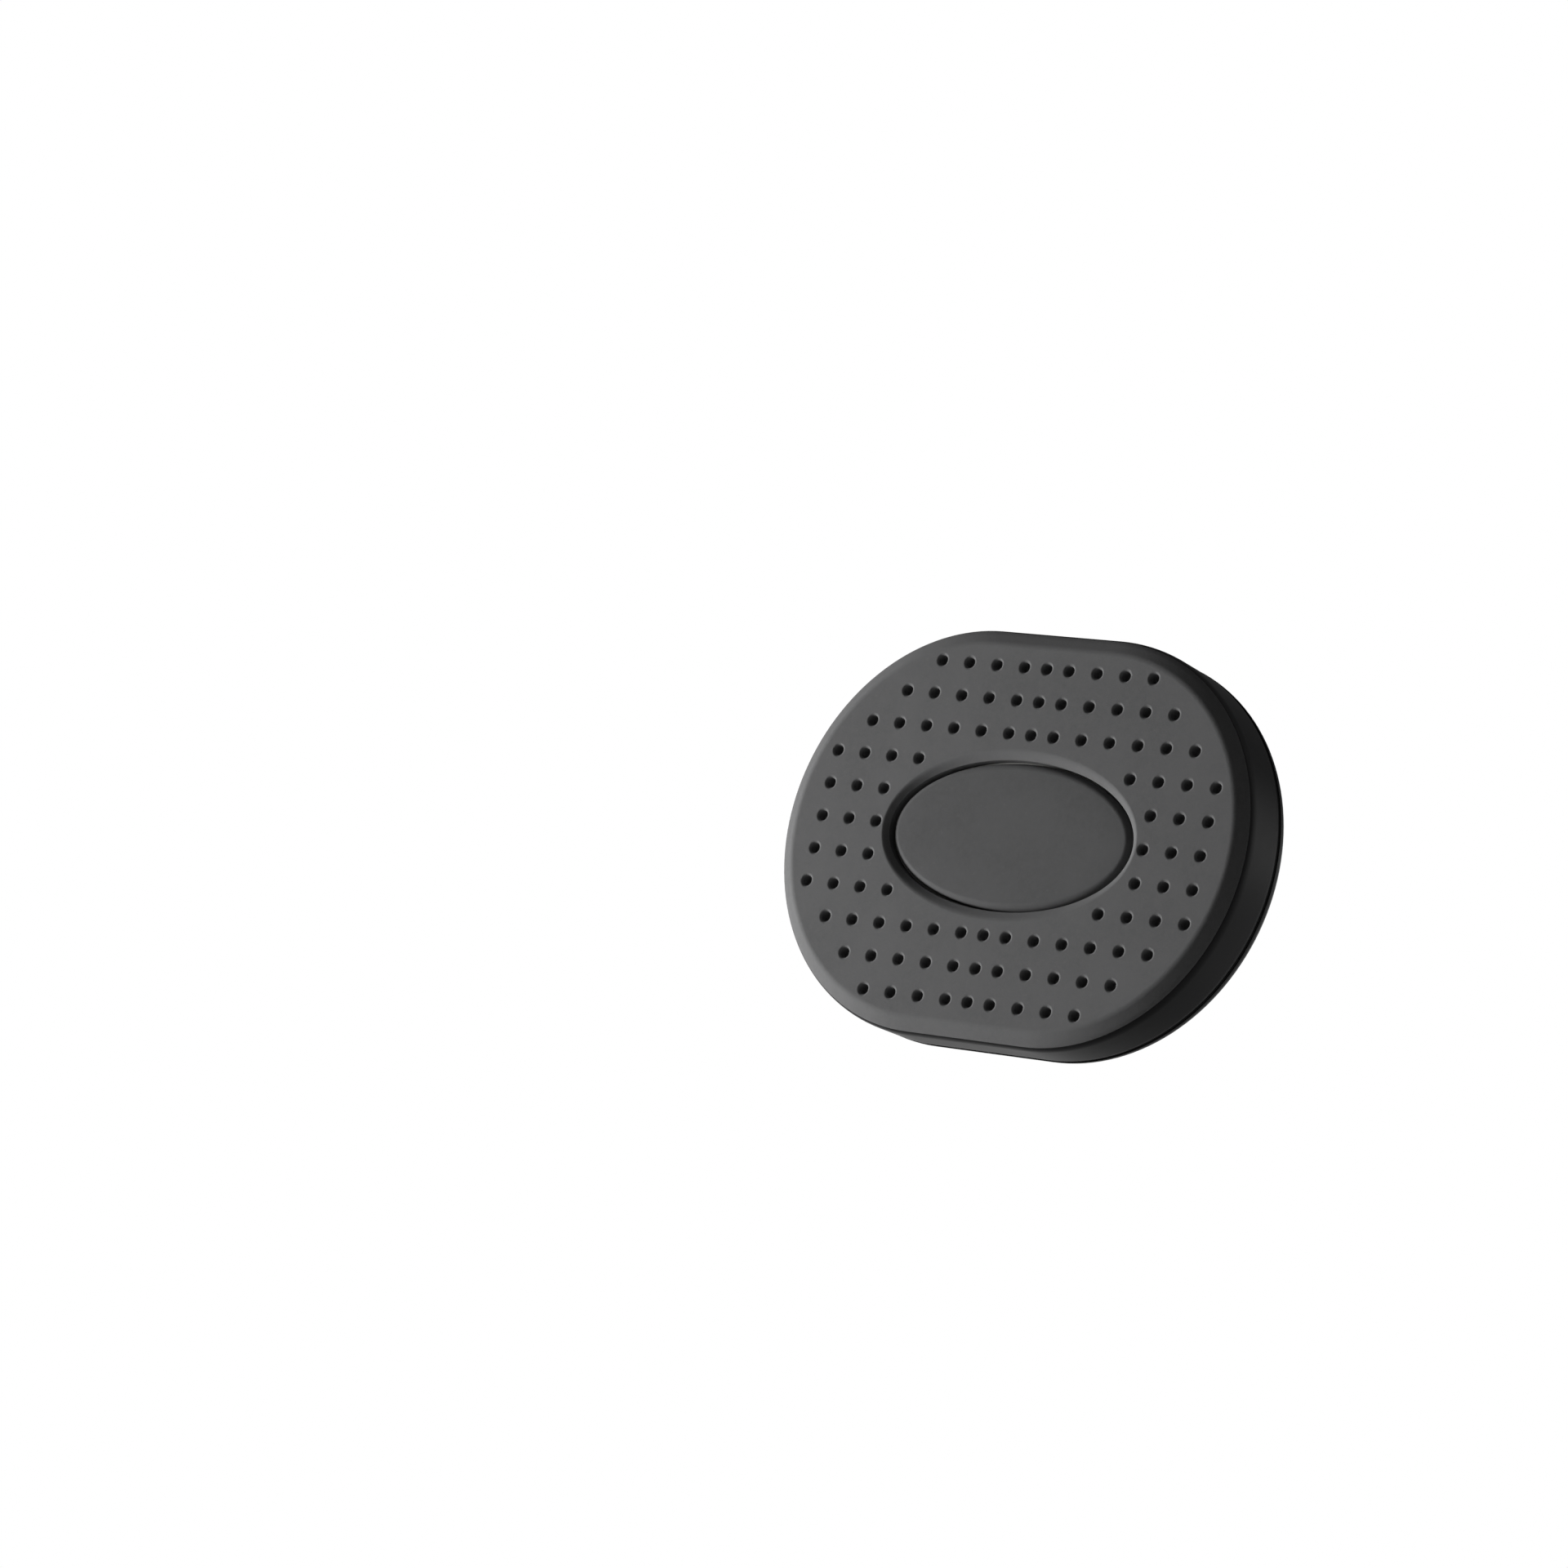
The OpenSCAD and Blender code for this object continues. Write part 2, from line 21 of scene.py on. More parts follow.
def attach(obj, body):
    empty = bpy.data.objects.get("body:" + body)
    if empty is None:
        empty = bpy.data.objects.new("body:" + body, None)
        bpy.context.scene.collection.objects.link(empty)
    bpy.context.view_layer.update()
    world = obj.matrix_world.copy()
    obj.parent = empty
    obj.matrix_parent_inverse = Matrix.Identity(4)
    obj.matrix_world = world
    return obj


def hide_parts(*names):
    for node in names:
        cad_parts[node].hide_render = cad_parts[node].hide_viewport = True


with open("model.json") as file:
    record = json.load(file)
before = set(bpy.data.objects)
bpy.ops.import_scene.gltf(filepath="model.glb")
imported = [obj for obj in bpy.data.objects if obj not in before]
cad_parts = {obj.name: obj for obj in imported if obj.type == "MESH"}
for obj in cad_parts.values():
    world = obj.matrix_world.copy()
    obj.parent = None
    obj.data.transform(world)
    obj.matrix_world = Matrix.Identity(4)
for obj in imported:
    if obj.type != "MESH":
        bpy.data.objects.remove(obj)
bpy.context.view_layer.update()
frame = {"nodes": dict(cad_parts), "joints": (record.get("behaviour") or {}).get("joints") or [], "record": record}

bl_info = {
    "name": "Magnetic phone holder",
    "version": (1, 0, 0),
    "blender": (4, 5, 0),
    "location": "3D View > Sidebar > Phone holder",
    "description": "Builds the looks of a magnetic phone holder round its packed solids",
    "category": "Object",
}

MM = 0.001
JOINTS = {joint["name"]: joint for joint in frame["joints"]}
BALL = np.array(JOINTS["ball_tilt"]["pos_m"])
FACE_OUT = np.array(JOINTS["head_roll"]["axis"])
FACE_OUT = FACE_OUT / np.linalg.norm(FACE_OUT)
WIDTH = np.array([1.0, 0.0, 0.0])
HEAD = np.array([WIDTH, np.cross(FACE_OUT, WIDTH), FACE_OUT])
CLIP = np.array([WIDTH, [0.0, 0.0, 1.0], [0.0, -1.0, 0.0]])


# Measuring the solids

def points_of(node, axes):
    """A node's corner points in the head's or the clip's frame."""
    mesh = frame["nodes"][node].data
    flat = np.empty(3 * len(mesh.vertices))
    mesh.vertices.foreach_get("co", flat)
    return (flat.reshape(-1, 3) - BALL) @ axes.T


def span(node, axes):
    """Lowest and highest corner of a node in that frame."""
    points = points_of(node, axes)
    return points.min(0), points.max(0)


def pill_size(node):
    """End radius, half length of the straight part, back and front of a pill-shaped node."""
    low, high = span(node, HEAD)
    radius = (high[1] - low[1]) / 2
    return radius, high[0] - radius, low[2], high[2]


def screw_places(head_r):
    """Middles of the four shell screws, as seen on the face, from their heads' radius."""
    x, y, _ = span("shell_screws", HEAD)[1] - head_r
    return [(-x, -y), (-x, y), (x, -y), (x, y)]


# Surfaces: a profile of (radius, height) points carried round an outline

def arc(radius, height, bend, start, end, steps=6):
    """Profile points on a circle of radius bend about (radius, height), angles in degrees."""
    t = np.radians(np.linspace(start, end, steps + 1))
    return np.stack([radius + bend * np.cos(t), height + bend * np.sin(t)], 1)


def quarter(start, end, steps=10):
    """Profile points on a quarter ellipse that leaves start level and reaches end upright."""
    t = np.radians(np.linspace(0, 90, steps + 1))[:, None]
    start, end = np.array(start), np.array(end)
    return start + (end - start) * np.concatenate([np.sin(t), 1 - np.cos(t)], 1)


def profile(*runs):
    """One profile from points and arcs, in order."""
    return np.concatenate([np.atleast_2d(run) for run in runs])


def outline(centres, arc_steps=36, straight_steps=8):
    """Stations round equal arcs about the centres, anticlockwise: a circle for one centre,
    a pill for two and a rounded square for four. Each station is a centre and a direction."""
    span_each = 2 * np.pi / len(centres)
    first = -np.pi / 2 if len(centres) == 2 else 0
    middles, angles = [], []
    for k, centre in enumerate(centres):
        turn = first + span_each * (k + np.linspace(0, 1, arc_steps + 1))
        middles.append(np.repeat([centre], arc_steps + 1, 0))
        angles.append(turn)
        if len(centres) > 1:
            share = np.linspace(0, 1, straight_steps + 1)[1:-1, None]
            ahead = np.array(centres[(k + 1) % len(centres)])
            middles.append(np.array(centre) * (1 - share) + ahead * share)
            angles.append(np.full(straight_steps - 1, turn[-1]))
    angles = np.concatenate(angles)
    return np.concatenate(middles), np.stack([np.cos(angles), np.sin(angles)], 1)


def pill(half_straight):
    """Two half circles joined by straight runs along x."""
    return outline([(half_straight, 0.0), (-half_straight, 0.0)], 72)


def circle(centre=(0.0, 0.0), steps=96):
    """Even steps round one centre, the last one on the first."""
    return outline([centre], steps)


def grid_faces(rows, columns, closed_rows=False):
    """Quads of a grid of points whose columns close on themselves."""
    i = np.arange(rows if closed_rows else rows - 1)[:, None]
    j = np.arange(columns)[None, :]
    ahead, across = (i + 1) % rows, (j + 1) % columns
    corners = [i * columns + j, i * columns + across, ahead * columns + across,
               ahead * columns + j]
    return np.stack([np.broadcast_to(c, (len(i), columns)) for c in corners], -1).reshape(-1, 4)


def carried(path, stations, closed=False):
    """The profile carried round the stations: point = centre + radius x direction, at its height. Bends of the
    profile are marked as worn, inward ones as well as outward ones."""
    middles, directions = stations
    path = np.asarray(path)
    flat = middles[None] + path[:, None, :1] * directions[None]
    heights = np.broadcast_to(path[:, None, 1:], flat.shape[:2] + (1,))
    points = np.concatenate([flat, heights], -1)
    wear = np.repeat(bend_wear(path)[:, None], len(middles), 1)
    return points.reshape(-1, 3), grid_faces(*points.shape[:2], closed), wear.ravel()


def bend_wear(path):
    """0 on straight runs of a profile, up to 1 where it turns by 15 degrees or more a step."""
    step = np.diff(path, axis=0)
    turn = np.unwrap(np.arctan2(step[:, 1], step[:, 0]))
    bend = np.abs(np.diff(turn))
    return np.clip(np.concatenate([[0], bend, [0]]) / math.radians(15), 0, 1)


def ring(stations, radius, height):
    """One loop of points at a radius and a height."""
    return carried([(radius, height)], stations)[0]


def oval_ring(a, b, height, steps=144):
    """A loop of points on the ellipse with half widths a and b."""
    t = np.linspace(0, 2 * np.pi, steps, endpoint=False)
    return np.stack([a * np.cos(t), b * np.sin(t), np.full(steps, height)], 1)


def flat_face(loops):
    """A flat face inside the first loop and outside the others, which are all convex, as
    triangles between them: one whose corners all lie on one hole's rim fills the hole."""
    points = np.concatenate(loops)
    apart = 1e-5  # millimetres
    scaled = [Vector(p) for p in points[:, :2] / MM]
    starts = np.cumsum([0] + [len(loop) for loop in loops])
    rims = [list(range(a, b)) for a, b in zip(starts[:-1], starts[1:])]
    _, _, faces, origin, _, _ = delaunay_2d_cdt(scaled, [], rims, 2, apart, True)
    corners = np.array([o[0] for o in origin])[np.array(faces)]
    rim = np.searchsorted(starts, corners, "right")
    fills = (rim[:, 0] > 1) & (rim[:, 0] == rim[:, 1]) & (rim[:, 0] == rim[:, 2])
    return points, corners[~fills], np.zeros(len(points))


# Pieces

SHARP_FROM = math.radians(50)


def build_piece(name, parts, axes, body, slot, stands_for):
    """Welds the parts, each of points, faces and wear, into one closed mesh in the row frame,
    turns its faces outwards and gives it its body, its slot and its finish. The triangles are
    those of flat faces and stay flat; quads are smooth."""
    offsets = np.cumsum([0] + [len(part[0]) for part in parts])
    points = np.concatenate([part[0] for part in parts])
    _, kept, place = np.unique(np.round(points / MM, 6), axis=0, return_index=True,
                               return_inverse=True)
    place = place.ravel()
    wear = np.ones(len(kept))
    np.minimum.at(wear, place, np.concatenate([part[2] for part in parts]))
    faces, smooth = [], []
    for start, part in zip(offsets, parts):
        corners = place[part[1] + start]
        doubled = corners == np.roll(corners, -1, 1)
        count = doubled.sum(1)
        faces += corners[count == 0].tolist()
        if corners.shape[1] == 4:
            faces += corners[count == 1][~doubled[count == 1]].reshape(-1, 3).tolist()
        smooth += [corners.shape[1] == 4] * (len(faces) - len(smooth))
    mesh = bpy.data.meshes.new(name)
    mesh.from_pydata((points[kept] @ axes + BALL).tolist(), [], faces)
    work = bmesh.new()
    work.from_mesh(mesh)
    bmesh.ops.recalc_face_normals(work, faces=work.faces)
    work.to_mesh(mesh)
    work.free()
    mesh.attributes.new("wear", "FLOAT", "POINT").data.foreach_set("value", wear)
    mesh.set_sharp_from_angle(angle=SHARP_FROM)
    mesh.polygons.foreach_set("use_smooth", smooth)
    piece = bpy.data.objects.new(name, mesh)
    bpy.context.scene.collection.objects.link(piece)
    mesh.materials.append(finish(slot))
    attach(piece, body)
    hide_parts(*stands_for)


# Shader maths

class Wire:
    """A socket that carries a number: Python's operators on it add Math nodes."""

    def __init__(self, made, socket):
        self.made = made
        self.socket = socket

    def math(self, operation, *values):
        return self.made.node("Math", {"operation": operation}, dict(enumerate(values)))

    def __add__(self, other):
        return self.math("ADD", self, other)

    def __radd__(self, other):
        return self.math("ADD", other, self)

    def __sub__(self, other):
        return self.math("SUBTRACT", self, other)

    def __rsub__(self, other):
        return self.math("SUBTRACT", other, self)

    def __mul__(self, other):
        return self.math("MULTIPLY", self, other)

    def __rmul__(self, other):
        return self.math("MULTIPLY", other, self)

    def most(self, other):
        return self.math("MAXIMUM", self, other)

    def between(self, low, high):
        """0 below low, 1 above high and smooth between them."""
        return self.made.node(
            "MapRange", {"interpolation_type": "SMOOTHSTEP"},
            {"Value": self, "From Min": low, "From Max": high})


class Finish:
    """A material or a world while it is built."""

    def __init__(self, owner, output="OutputMaterial"):
        owner.use_nodes = True
        self.owner = owner
        self.output = output
        self.tree = owner.node_tree
        self.tree.nodes.clear()

    def node(self, kind, settings=None, sockets=None, output=0):
        """Adds a node, sets its settings and then its sockets, each to a value or a link."""
        made = self.tree.nodes.new("ShaderNode" + kind)
        for key, value in (settings or {}).items():
            setattr(made, key, value)
        for key, value in (sockets or {}).items():
            if isinstance(value, Wire):
                self.tree.links.new(value.socket, made.inputs[key])
            else:
                made.inputs[key].default_value = value
        return Wire(self, made.outputs[output])

    def places(self, stretch=(1.0, 1.0, 1.0)):
        """Object coordinates, stretched along the row frame's axes."""
        coordinates = self.node("TexCoord", output="Object")
        return self.node("Mapping", {"vector_type": "POINT"},
                         {"Vector": coordinates, "Scale": stretch})

    def noise(self, size, detail=2.0, roughness=0.5, stretch=(1.0, 1.0, 1.0)):
        """Noise from 0 to 1 whose blotches are about that size, in millimetres."""
        return self.node("TexNoise", {}, {
            "Vector": self.places(stretch), "Scale": 1 / (size * MM), "Detail": detail,
            "Roughness": roughness})

    def cells(self, size):
        """Distance from the middle of rounded cells of that size, in millimetres."""
        return self.node("TexVoronoi", {"feature": "SMOOTH_F1"}, {
            "Vector": self.places(), "Scale": 1 / (size * MM)})

    def ray(self, kind):
        """1 for light rays of that kind."""
        return self.node("LightPath", output="Is " + kind + " Ray")

    def worn(self):
        """1 on the edges that hands and cloths rub."""
        return self.node("Attribute", {"attribute_name": "wear"}, output="Fac")

    def blend(self, share, low, high):
        """A colour between low and high."""
        return self.node("Mix", {"data_type": "RGBA"}, {
            "Factor": share, 6: low, 7: high}, output=2)

    def bump(self, height, depth):
        """A normal from a height of 0 to 1 that stands for depth, in millimetres."""
        return self.node("Bump", {}, {"Height": height, "Distance": depth * MM,
                                      "Strength": 1.0})

    def close(self, sockets):
        """The Principled shader with these sockets, sent to the output."""
        return self.send(self.node("BsdfPrincipled", {}, sockets))

    def send(self, shader):
        """Sends a shader to the output."""
        out = self.tree.nodes.new("ShaderNode" + self.output)
        self.tree.links.new(shader.socket, out.inputs["Surface"])
        return self.owner


def shade(colour, factor):
    """A colour made lighter or darker."""
    return tuple(min(1.0, c * factor) for c in colour[:3]) + (1.0,)


DUST = (0.5, 0.49, 0.47, 1.0)


def moulded(name, colour, roughness, grain, depth, index=1.4, dust=0.03, edge=1.5):
    """Rubber or plastic: moulding grain in the surface, faint blotches from the mould, edges
    rubbed a little lighter and smoother, and a trace of dust in the grain."""
    made = Finish(bpy.data.materials.new(name))
    blotch = made.noise(7, detail=3.0, roughness=0.6)
    fine = made.noise(grain, detail=3.0, roughness=0.65)
    pits = made.cells(grain * 1.7)
    mottle = made.noise(0.7, detail=3.0, roughness=0.7)
    rubbed = made.worn() * made.noise(1.6, detail=4.0, roughness=0.7).between(0.35, 0.7)
    specks = made.noise(0.35, detail=1.0).between(0.7, 0.78) * blotch
    base = made.blend(blotch.between(0.3, 0.7), shade(colour, 0.93), shade(colour, 1.07))
    base = made.blend(fine.between(0.2, 0.8), base, made.blend(0.5, base, shade(colour, 1.15)))
    base = made.blend(mottle.between(0.3, 0.7) * 0.6, base, shade(colour, 1.12))
    base = made.blend(rubbed * 0.5, base, shade(colour, edge))
    base = made.blend(specks * dust, base, DUST)
    rough = roughness + (blotch - 0.5) * 0.08 - rubbed * 0.08 + specks * 0.1
    relief = made.bump(fine * 0.6 + pits * 0.4, depth)
    return made.close({
        "Base Color": base, "Roughness": rough, "Normal": relief, "IOR": index})


def metal(name, colour, roughness, line, depth, stretch=(1.0, 1.0, 1.0), tarnish=0.9):
    """Metal: lines or pits from its making, and faint clouding."""
    made = Finish(bpy.data.materials.new(name))
    cloud = made.noise(4, detail=3.0, roughness=0.6)
    lines = made.noise(line, roughness=0.6, stretch=stretch)
    base = made.blend(cloud.between(0.3, 0.75), shade(colour, tarnish), colour)
    base = made.blend(lines.between(0.35, 0.75) * 0.3, base, shade(colour, 1.12))
    rough = roughness + (cloud - 0.5) * 0.1 + (lines - 0.5) * 0.12
    return made.close({
        "Base Color": base, "Roughness": rough, "Metallic": 1.0,
        "Normal": made.bump(lines, depth)})


def finish(slot):
    """The finish of a material slot, built the first time that it is asked for."""
    name = slot + "_finish"
    if name not in bpy.data.materials:
        make, tone, values = FINISHES[slot]
        make(name, getattr(bpy.context.scene.holder_finishes, tone), **values)
    return bpy.data.materials[name]


# Each slot's maker, its colour's setting and the maker's other values, sizes in millimetres
FINISHES = {
    "pad_rubber": (moulded, "pad_colour", dict(
        roughness=0.62, grain=0.16, depth=0.014, index=1.1, edge=1.0)),
    "badge_rubber": (moulded, "badge_colour", dict(
        roughness=0.58, grain=0.12, depth=0.012, index=1.1, edge=1.0)),
    "shell_plastic": (moulded, "shell_colour", dict(
        roughness=0.42, grain=0.09, depth=0.004, index=1.14, dust=0.01, edge=1.1)),
    "socket_plastic": (moulded, "plastic_colour", dict(
        roughness=0.4, grain=0.3, depth=0.004)),
    "nut_plastic": (moulded, "plastic_colour", dict(
        roughness=0.42, grain=0.2, depth=0.01)),
    "hub_plastic": (moulded, "plastic_colour", dict(
        roughness=0.5, grain=0.24, depth=0.02)),
    "finger_plastic": (moulded, "plastic_colour", dict(
        roughness=0.45, grain=0.3, depth=0.008)),
    "grip_rubber": (moulded, "grip_colour", dict(
        roughness=0.62, grain=0.2, depth=0.014, index=1.25, dust=0.06)),
    "band_rubber": (moulded, "grip_colour", dict(
        roughness=0.68, grain=0.25, depth=0.012, index=1.25)),
    "tray_plastic": (moulded, "tray_colour", dict(
        roughness=0.5, grain=0.4, depth=0.01)),
    "seat_nylon": (moulded, "nylon_colour", dict(
        roughness=0.35, grain=0.5, depth=0.006, index=1.45, edge=1.1)),
    "tape": (moulded, "tape_colour", dict(
        roughness=0.85, grain=0.3, depth=0.03, index=1.3)),
    "magnet_nickel": (metal, "nickel_colour", dict(
        roughness=0.24, line=0.3, depth=0.004)),
    "plate_steel": (metal, "plate_colour", dict(
        roughness=0.38, line=0.12, depth=0.008, stretch=(0.04, 1.0, 1.0))),
    "spring_steel": (metal, "spring_colour", dict(
        roughness=0.3, line=0.12, depth=0.006, stretch=(0.1, 1.0, 1.0))),
    "stud_chrome": (metal, "chrome_colour", dict(
        roughness=0.12, line=0.15, depth=0.001, stretch=(1.0, 0.1, 1.0))),
    "screw_steel": (metal, "screw_colour", dict(
        roughness=0.4, line=0.2, depth=0.008, tarnish=0.7)),
}


# Settings

def length(name, description, millimetres):
    """A size that is written in millimetres and kept in metres."""
    return FloatProperty(name=name, description=description, default=millimetres * MM,
                         unit="LENGTH", precision=5, min=0.0)


def place(name, description, default):
    """A point or an offset between two, in metres."""
    return FloatVectorProperty(name=name, description=description, default=default,
                               unit="LENGTH", size=3)


def angle(name, description, degrees):
    """An angle that is written in degrees and kept in radians."""
    return FloatProperty(name=name, description=description, default=math.radians(degrees),
                         subtype="ANGLE")


def amount(name, description, default):
    return FloatProperty(name=name, description=description, default=default, min=0.0)


def count(name, description, default, least):
    return IntProperty(name=name, description=description, default=default, min=least)


def colour(name, description, red, green, blue):
    return FloatVectorProperty(name=name, description=description, subtype="COLOR", size=4,
                               default=(red, green, blue, 1.0), min=0.0, max=1.0)


class HolderFinishes(bpy.types.PropertyGroup):
    """Colours of the holder."""

    pad_colour: colour("Face rubber", "Colour of the dimpled face", 0.105, 0.105, 0.106)
    badge_colour: colour("Badge", "Colour of the oval badge", 0.084, 0.084, 0.085)
    shell_colour: colour("Shell", "Colour of the head's shell", 0.009, 0.009, 0.0093)
    plastic_colour: colour("Plastic", "Colour of nut, socket, hub and fingers",
                           0.03, 0.03, 0.032)
    grip_colour: colour("Grips", "Colour of the grips and the band", 0.055, 0.055, 0.057)
    tray_colour: colour("Tray", "Colour of the magnets' tray", 0.12, 0.12, 0.13)
    nylon_colour: colour("Nylon", "Colour of the ball's seat", 0.75, 0.73, 0.68)
    tape_colour: colour("Tape", "Colour of the adhesive sheet", 0.25, 0.25, 0.24)
    nickel_colour: colour("Nickel", "Colour of the magnets' plating", 0.62, 0.63, 0.66)
    plate_colour: colour("Plate", "Colour of the zinc-plated plate", 0.42, 0.43, 0.45)
    spring_colour: colour("Spring steel", "Colour of the washer", 0.5, 0.5, 0.52)
    chrome_colour: colour("Chrome", "Colour of the ball stud", 0.62, 0.63, 0.65)
    screw_colour: colour("Screws", "Colour of the screws", 0.12, 0.12, 0.13)


class HolderHead(bpy.types.PropertyGroup):
    """Sizes of the head's finer forms."""

    pad_round: length("Pad rounding", "Inset of the flat face from the pad's side", 1.1)
    pad_lean: angle("Pad lean", "Slope of the rubber face's edge", 28)
    pad_bend: length("Pad bend", "Radius between the flat face and its edge", 1.4)
    rim_shown: length("Rim shown", "Width of the rim outside the rubber's lip", 0.25)
    rim_clear: length("Rim gap", "Gap between the rubber's lip and the rim", 0.03)
    dimple_d: length("Dimple diameter", "Diameter of a dimple below its mouth", 1.05)
    dimple_depth: length("Dimple depth", "Depth of a dimple", 1.1)
    dimple_lip: length("Dimple lip", "Rounding of a dimple's mouth", 0.28)
    dimple_pitch: length("Dimple pitch", "Spacing of the dimples", 3.5)
    dimple_mid_pitch: length("Middle pitch", "Spacing of the middle column of dimples",
                             2.8)
    dimple_edge: length("Dimple margin", "Pad's edge to the outermost dimple's centre",
                        1.7)
    oval_bevel: length("Oval bevel", "Width of the bevel at the badge's ends", 0.7)
    oval_bevel_y: length("Oval bevel above", "Width of the bevel above and below the badge",
                         1.1)
    oval_fall: length("Oval fall", "Depth of the bevel round the badge", 0.42)
    badge_gap: length("Badge gap", "Gap at the badge's ends", 0.35)
    badge_gap_y: length("Badge gap above", "Gap above and below the badge", 0.21)
    badge_round: length("Badge rounding", "Width of the badge's soft edge", 0.85)
    badge_fall: length("Badge fall", "Depth of the badge's soft edge", 0.8)
    rim_w: length("Rim", "Width of the shell's rim round the rubber face", 0.6)
    rim_round: length("Rim rounding", "Width of the rim's rounded outer edge", 0.3)
    rim_fall: length("Rim fall", "Depth of the rim's rounded outer edge", 0.9)
    shell_t: length("Shell wall", "Wall thickness of the front shell", 1.4)
    draft: length("Draft", "How much the side draws in towards the back", 0.1)
    web_t: length("Web", "Thickness of the web behind the rubber face", 0.9)
    parting_turn: length("Parting turn", "Rounding of the side towards the parting line",
                         1.5)
    parting_lean: angle("Parting lean", "Angle of that rounding", 28)
    parting_round: length("Parting edge", "Rounding of the rear shell's front edge",
                          0.16)
    back_edge: length("Back edge", "Height of the rear shell's straight edge", 0.8)
    back_edge_round: length("Back edge rounding", "Rounding below the straight edge",
                            1.8)
    back_round: length("Back rounding", "Rounding of the rear shell's edge", 1.2)
    back_t: length("Back wall", "Thickness of the rear shell", 1.8)
    boss_in: length("Boss bore", "Radius of the hole for the socket", 7.56)
    boss_wall: length("Boss wall", "Wall of the boss round the socket", 2.2)
    spigot_t: length("Spigot", "Wall of the rear shell's spigot", 1.3)
    spigot_gap: length("Spigot gap", "Gap round the rear shell's spigot", 0.15)
    spigot_front: length("Spigot front", "Front of the spigot, from the ball's centre",
                         8.1)
    boss_front: length("Boss front", "Front of the bosses, from the ball's centre", 5.35)
    post_r: length("Screw post", "Radius of the front shell's screw posts", 2.2)
    screw_boss_r: length("Screw boss", "Radius of the rear shell's screw bosses", 1.9)
    screw_head_r: length("Screw head", "Radius of a shell screw's head", 1.8)
    screw_hole_r: length("Screw hole", "Radius of a shell screw's hole", 0.95)
    sink_r: length("Sink", "Radius of the hole that sinks a screw's head", 1.95)
    sink_depth: length("Sink depth", "Depth of that hole", 1.2)


class HolderJoint(bpy.types.PropertyGroup):
    """Sizes of the collar nut and the ball stud."""

    nut_flutes: count("Flutes", "Flutes round the collar nut", 24, 6)
    flute_r: length("Flute radius", "Radius of one flute", 0.7)
    nut_round: length("Nut rounding", "Rounding of the nut's outer edges", 1.0)
    nut_in: length("Nut bore", "Radius of the nut's bore", 7.58)
    nut_lip: length("Nut lip", "Thickness of the nut's lip", 1.4)
    lip_in: length("Lip bore", "Radius of the lip's hole", 5.905)
    lip_flare: length("Lip flare", "Flare of the lip's hole", 1.2)
    ball_r: length("Ball radius", "Radius of the ball", 5.0)
    neck_r: length("Neck radius", "Radius of the stud's neck", 2.0)
    neck_flare: length("Neck flare", "Radius between the neck and the shoulder", 1.2)
    neck_reach: length("Neck reach", "Ball's centre to the stud's shoulder", 9.8)
    shoulder_r: length("Shoulder radius", "Radius of the stud's shoulder", 3.6)
    shoulder_t: length("Shoulder", "Thickness of the stud's shoulder", 1.0)
    shank_r: length("Shank radius", "Radius of the stud's shank", 2.2)
    bore_r: length("Bore radius", "Radius of the stud's screw hole", 1.05)
    bore_end: length("Bore end", "End of the screw hole, behind the ball's centre", 7.2)


class HolderClip(bpy.types.PropertyGroup):
    """Sizes of the clip's rubber parts and of the solid parts' soft edges."""

    band_t: length("Band", "Thickness of the closing band", 1.0)
    band_corner: length("Band corner", "Corner radius of the closing band", 2.4)
    band_round: length("Band rounding", "Rounding of the closing band's edges", 0.28)
    side_slot: length("Side slot", "Gap between the left and right grips", 1.2)
    slot_w: length("Slot", "Gap between the upper and lower ribs", 1.4)
    tip_w: length("Tip width", "Width across the grips at their tips", 9.2)
    rubber_t: length("Rubber", "Thickness of the rubber round a finger", 0.95)
    rib_h: length("Rib height", "Height of the ribs", 0.35)
    rib_count: count("Ribs", "Rib spacings along a grip", 6, 2)
    tip_round: length("Tip rounding", "Rounding of the grips' tips", 1.0)
    grip_round: length("Grip rounding", "Rounding of the grips' side edges", 0.4)
    slot_round: length("Slot rounding", "Rounding of the grips' inner edges", 0.3)
    mouth_round: length("Mouth rounding", "Rounding of the grips' open ends", 0.2)
    core_soft: length("Soft edge", "Bevel on the hub's, cores' and screws' edges", 0.12)


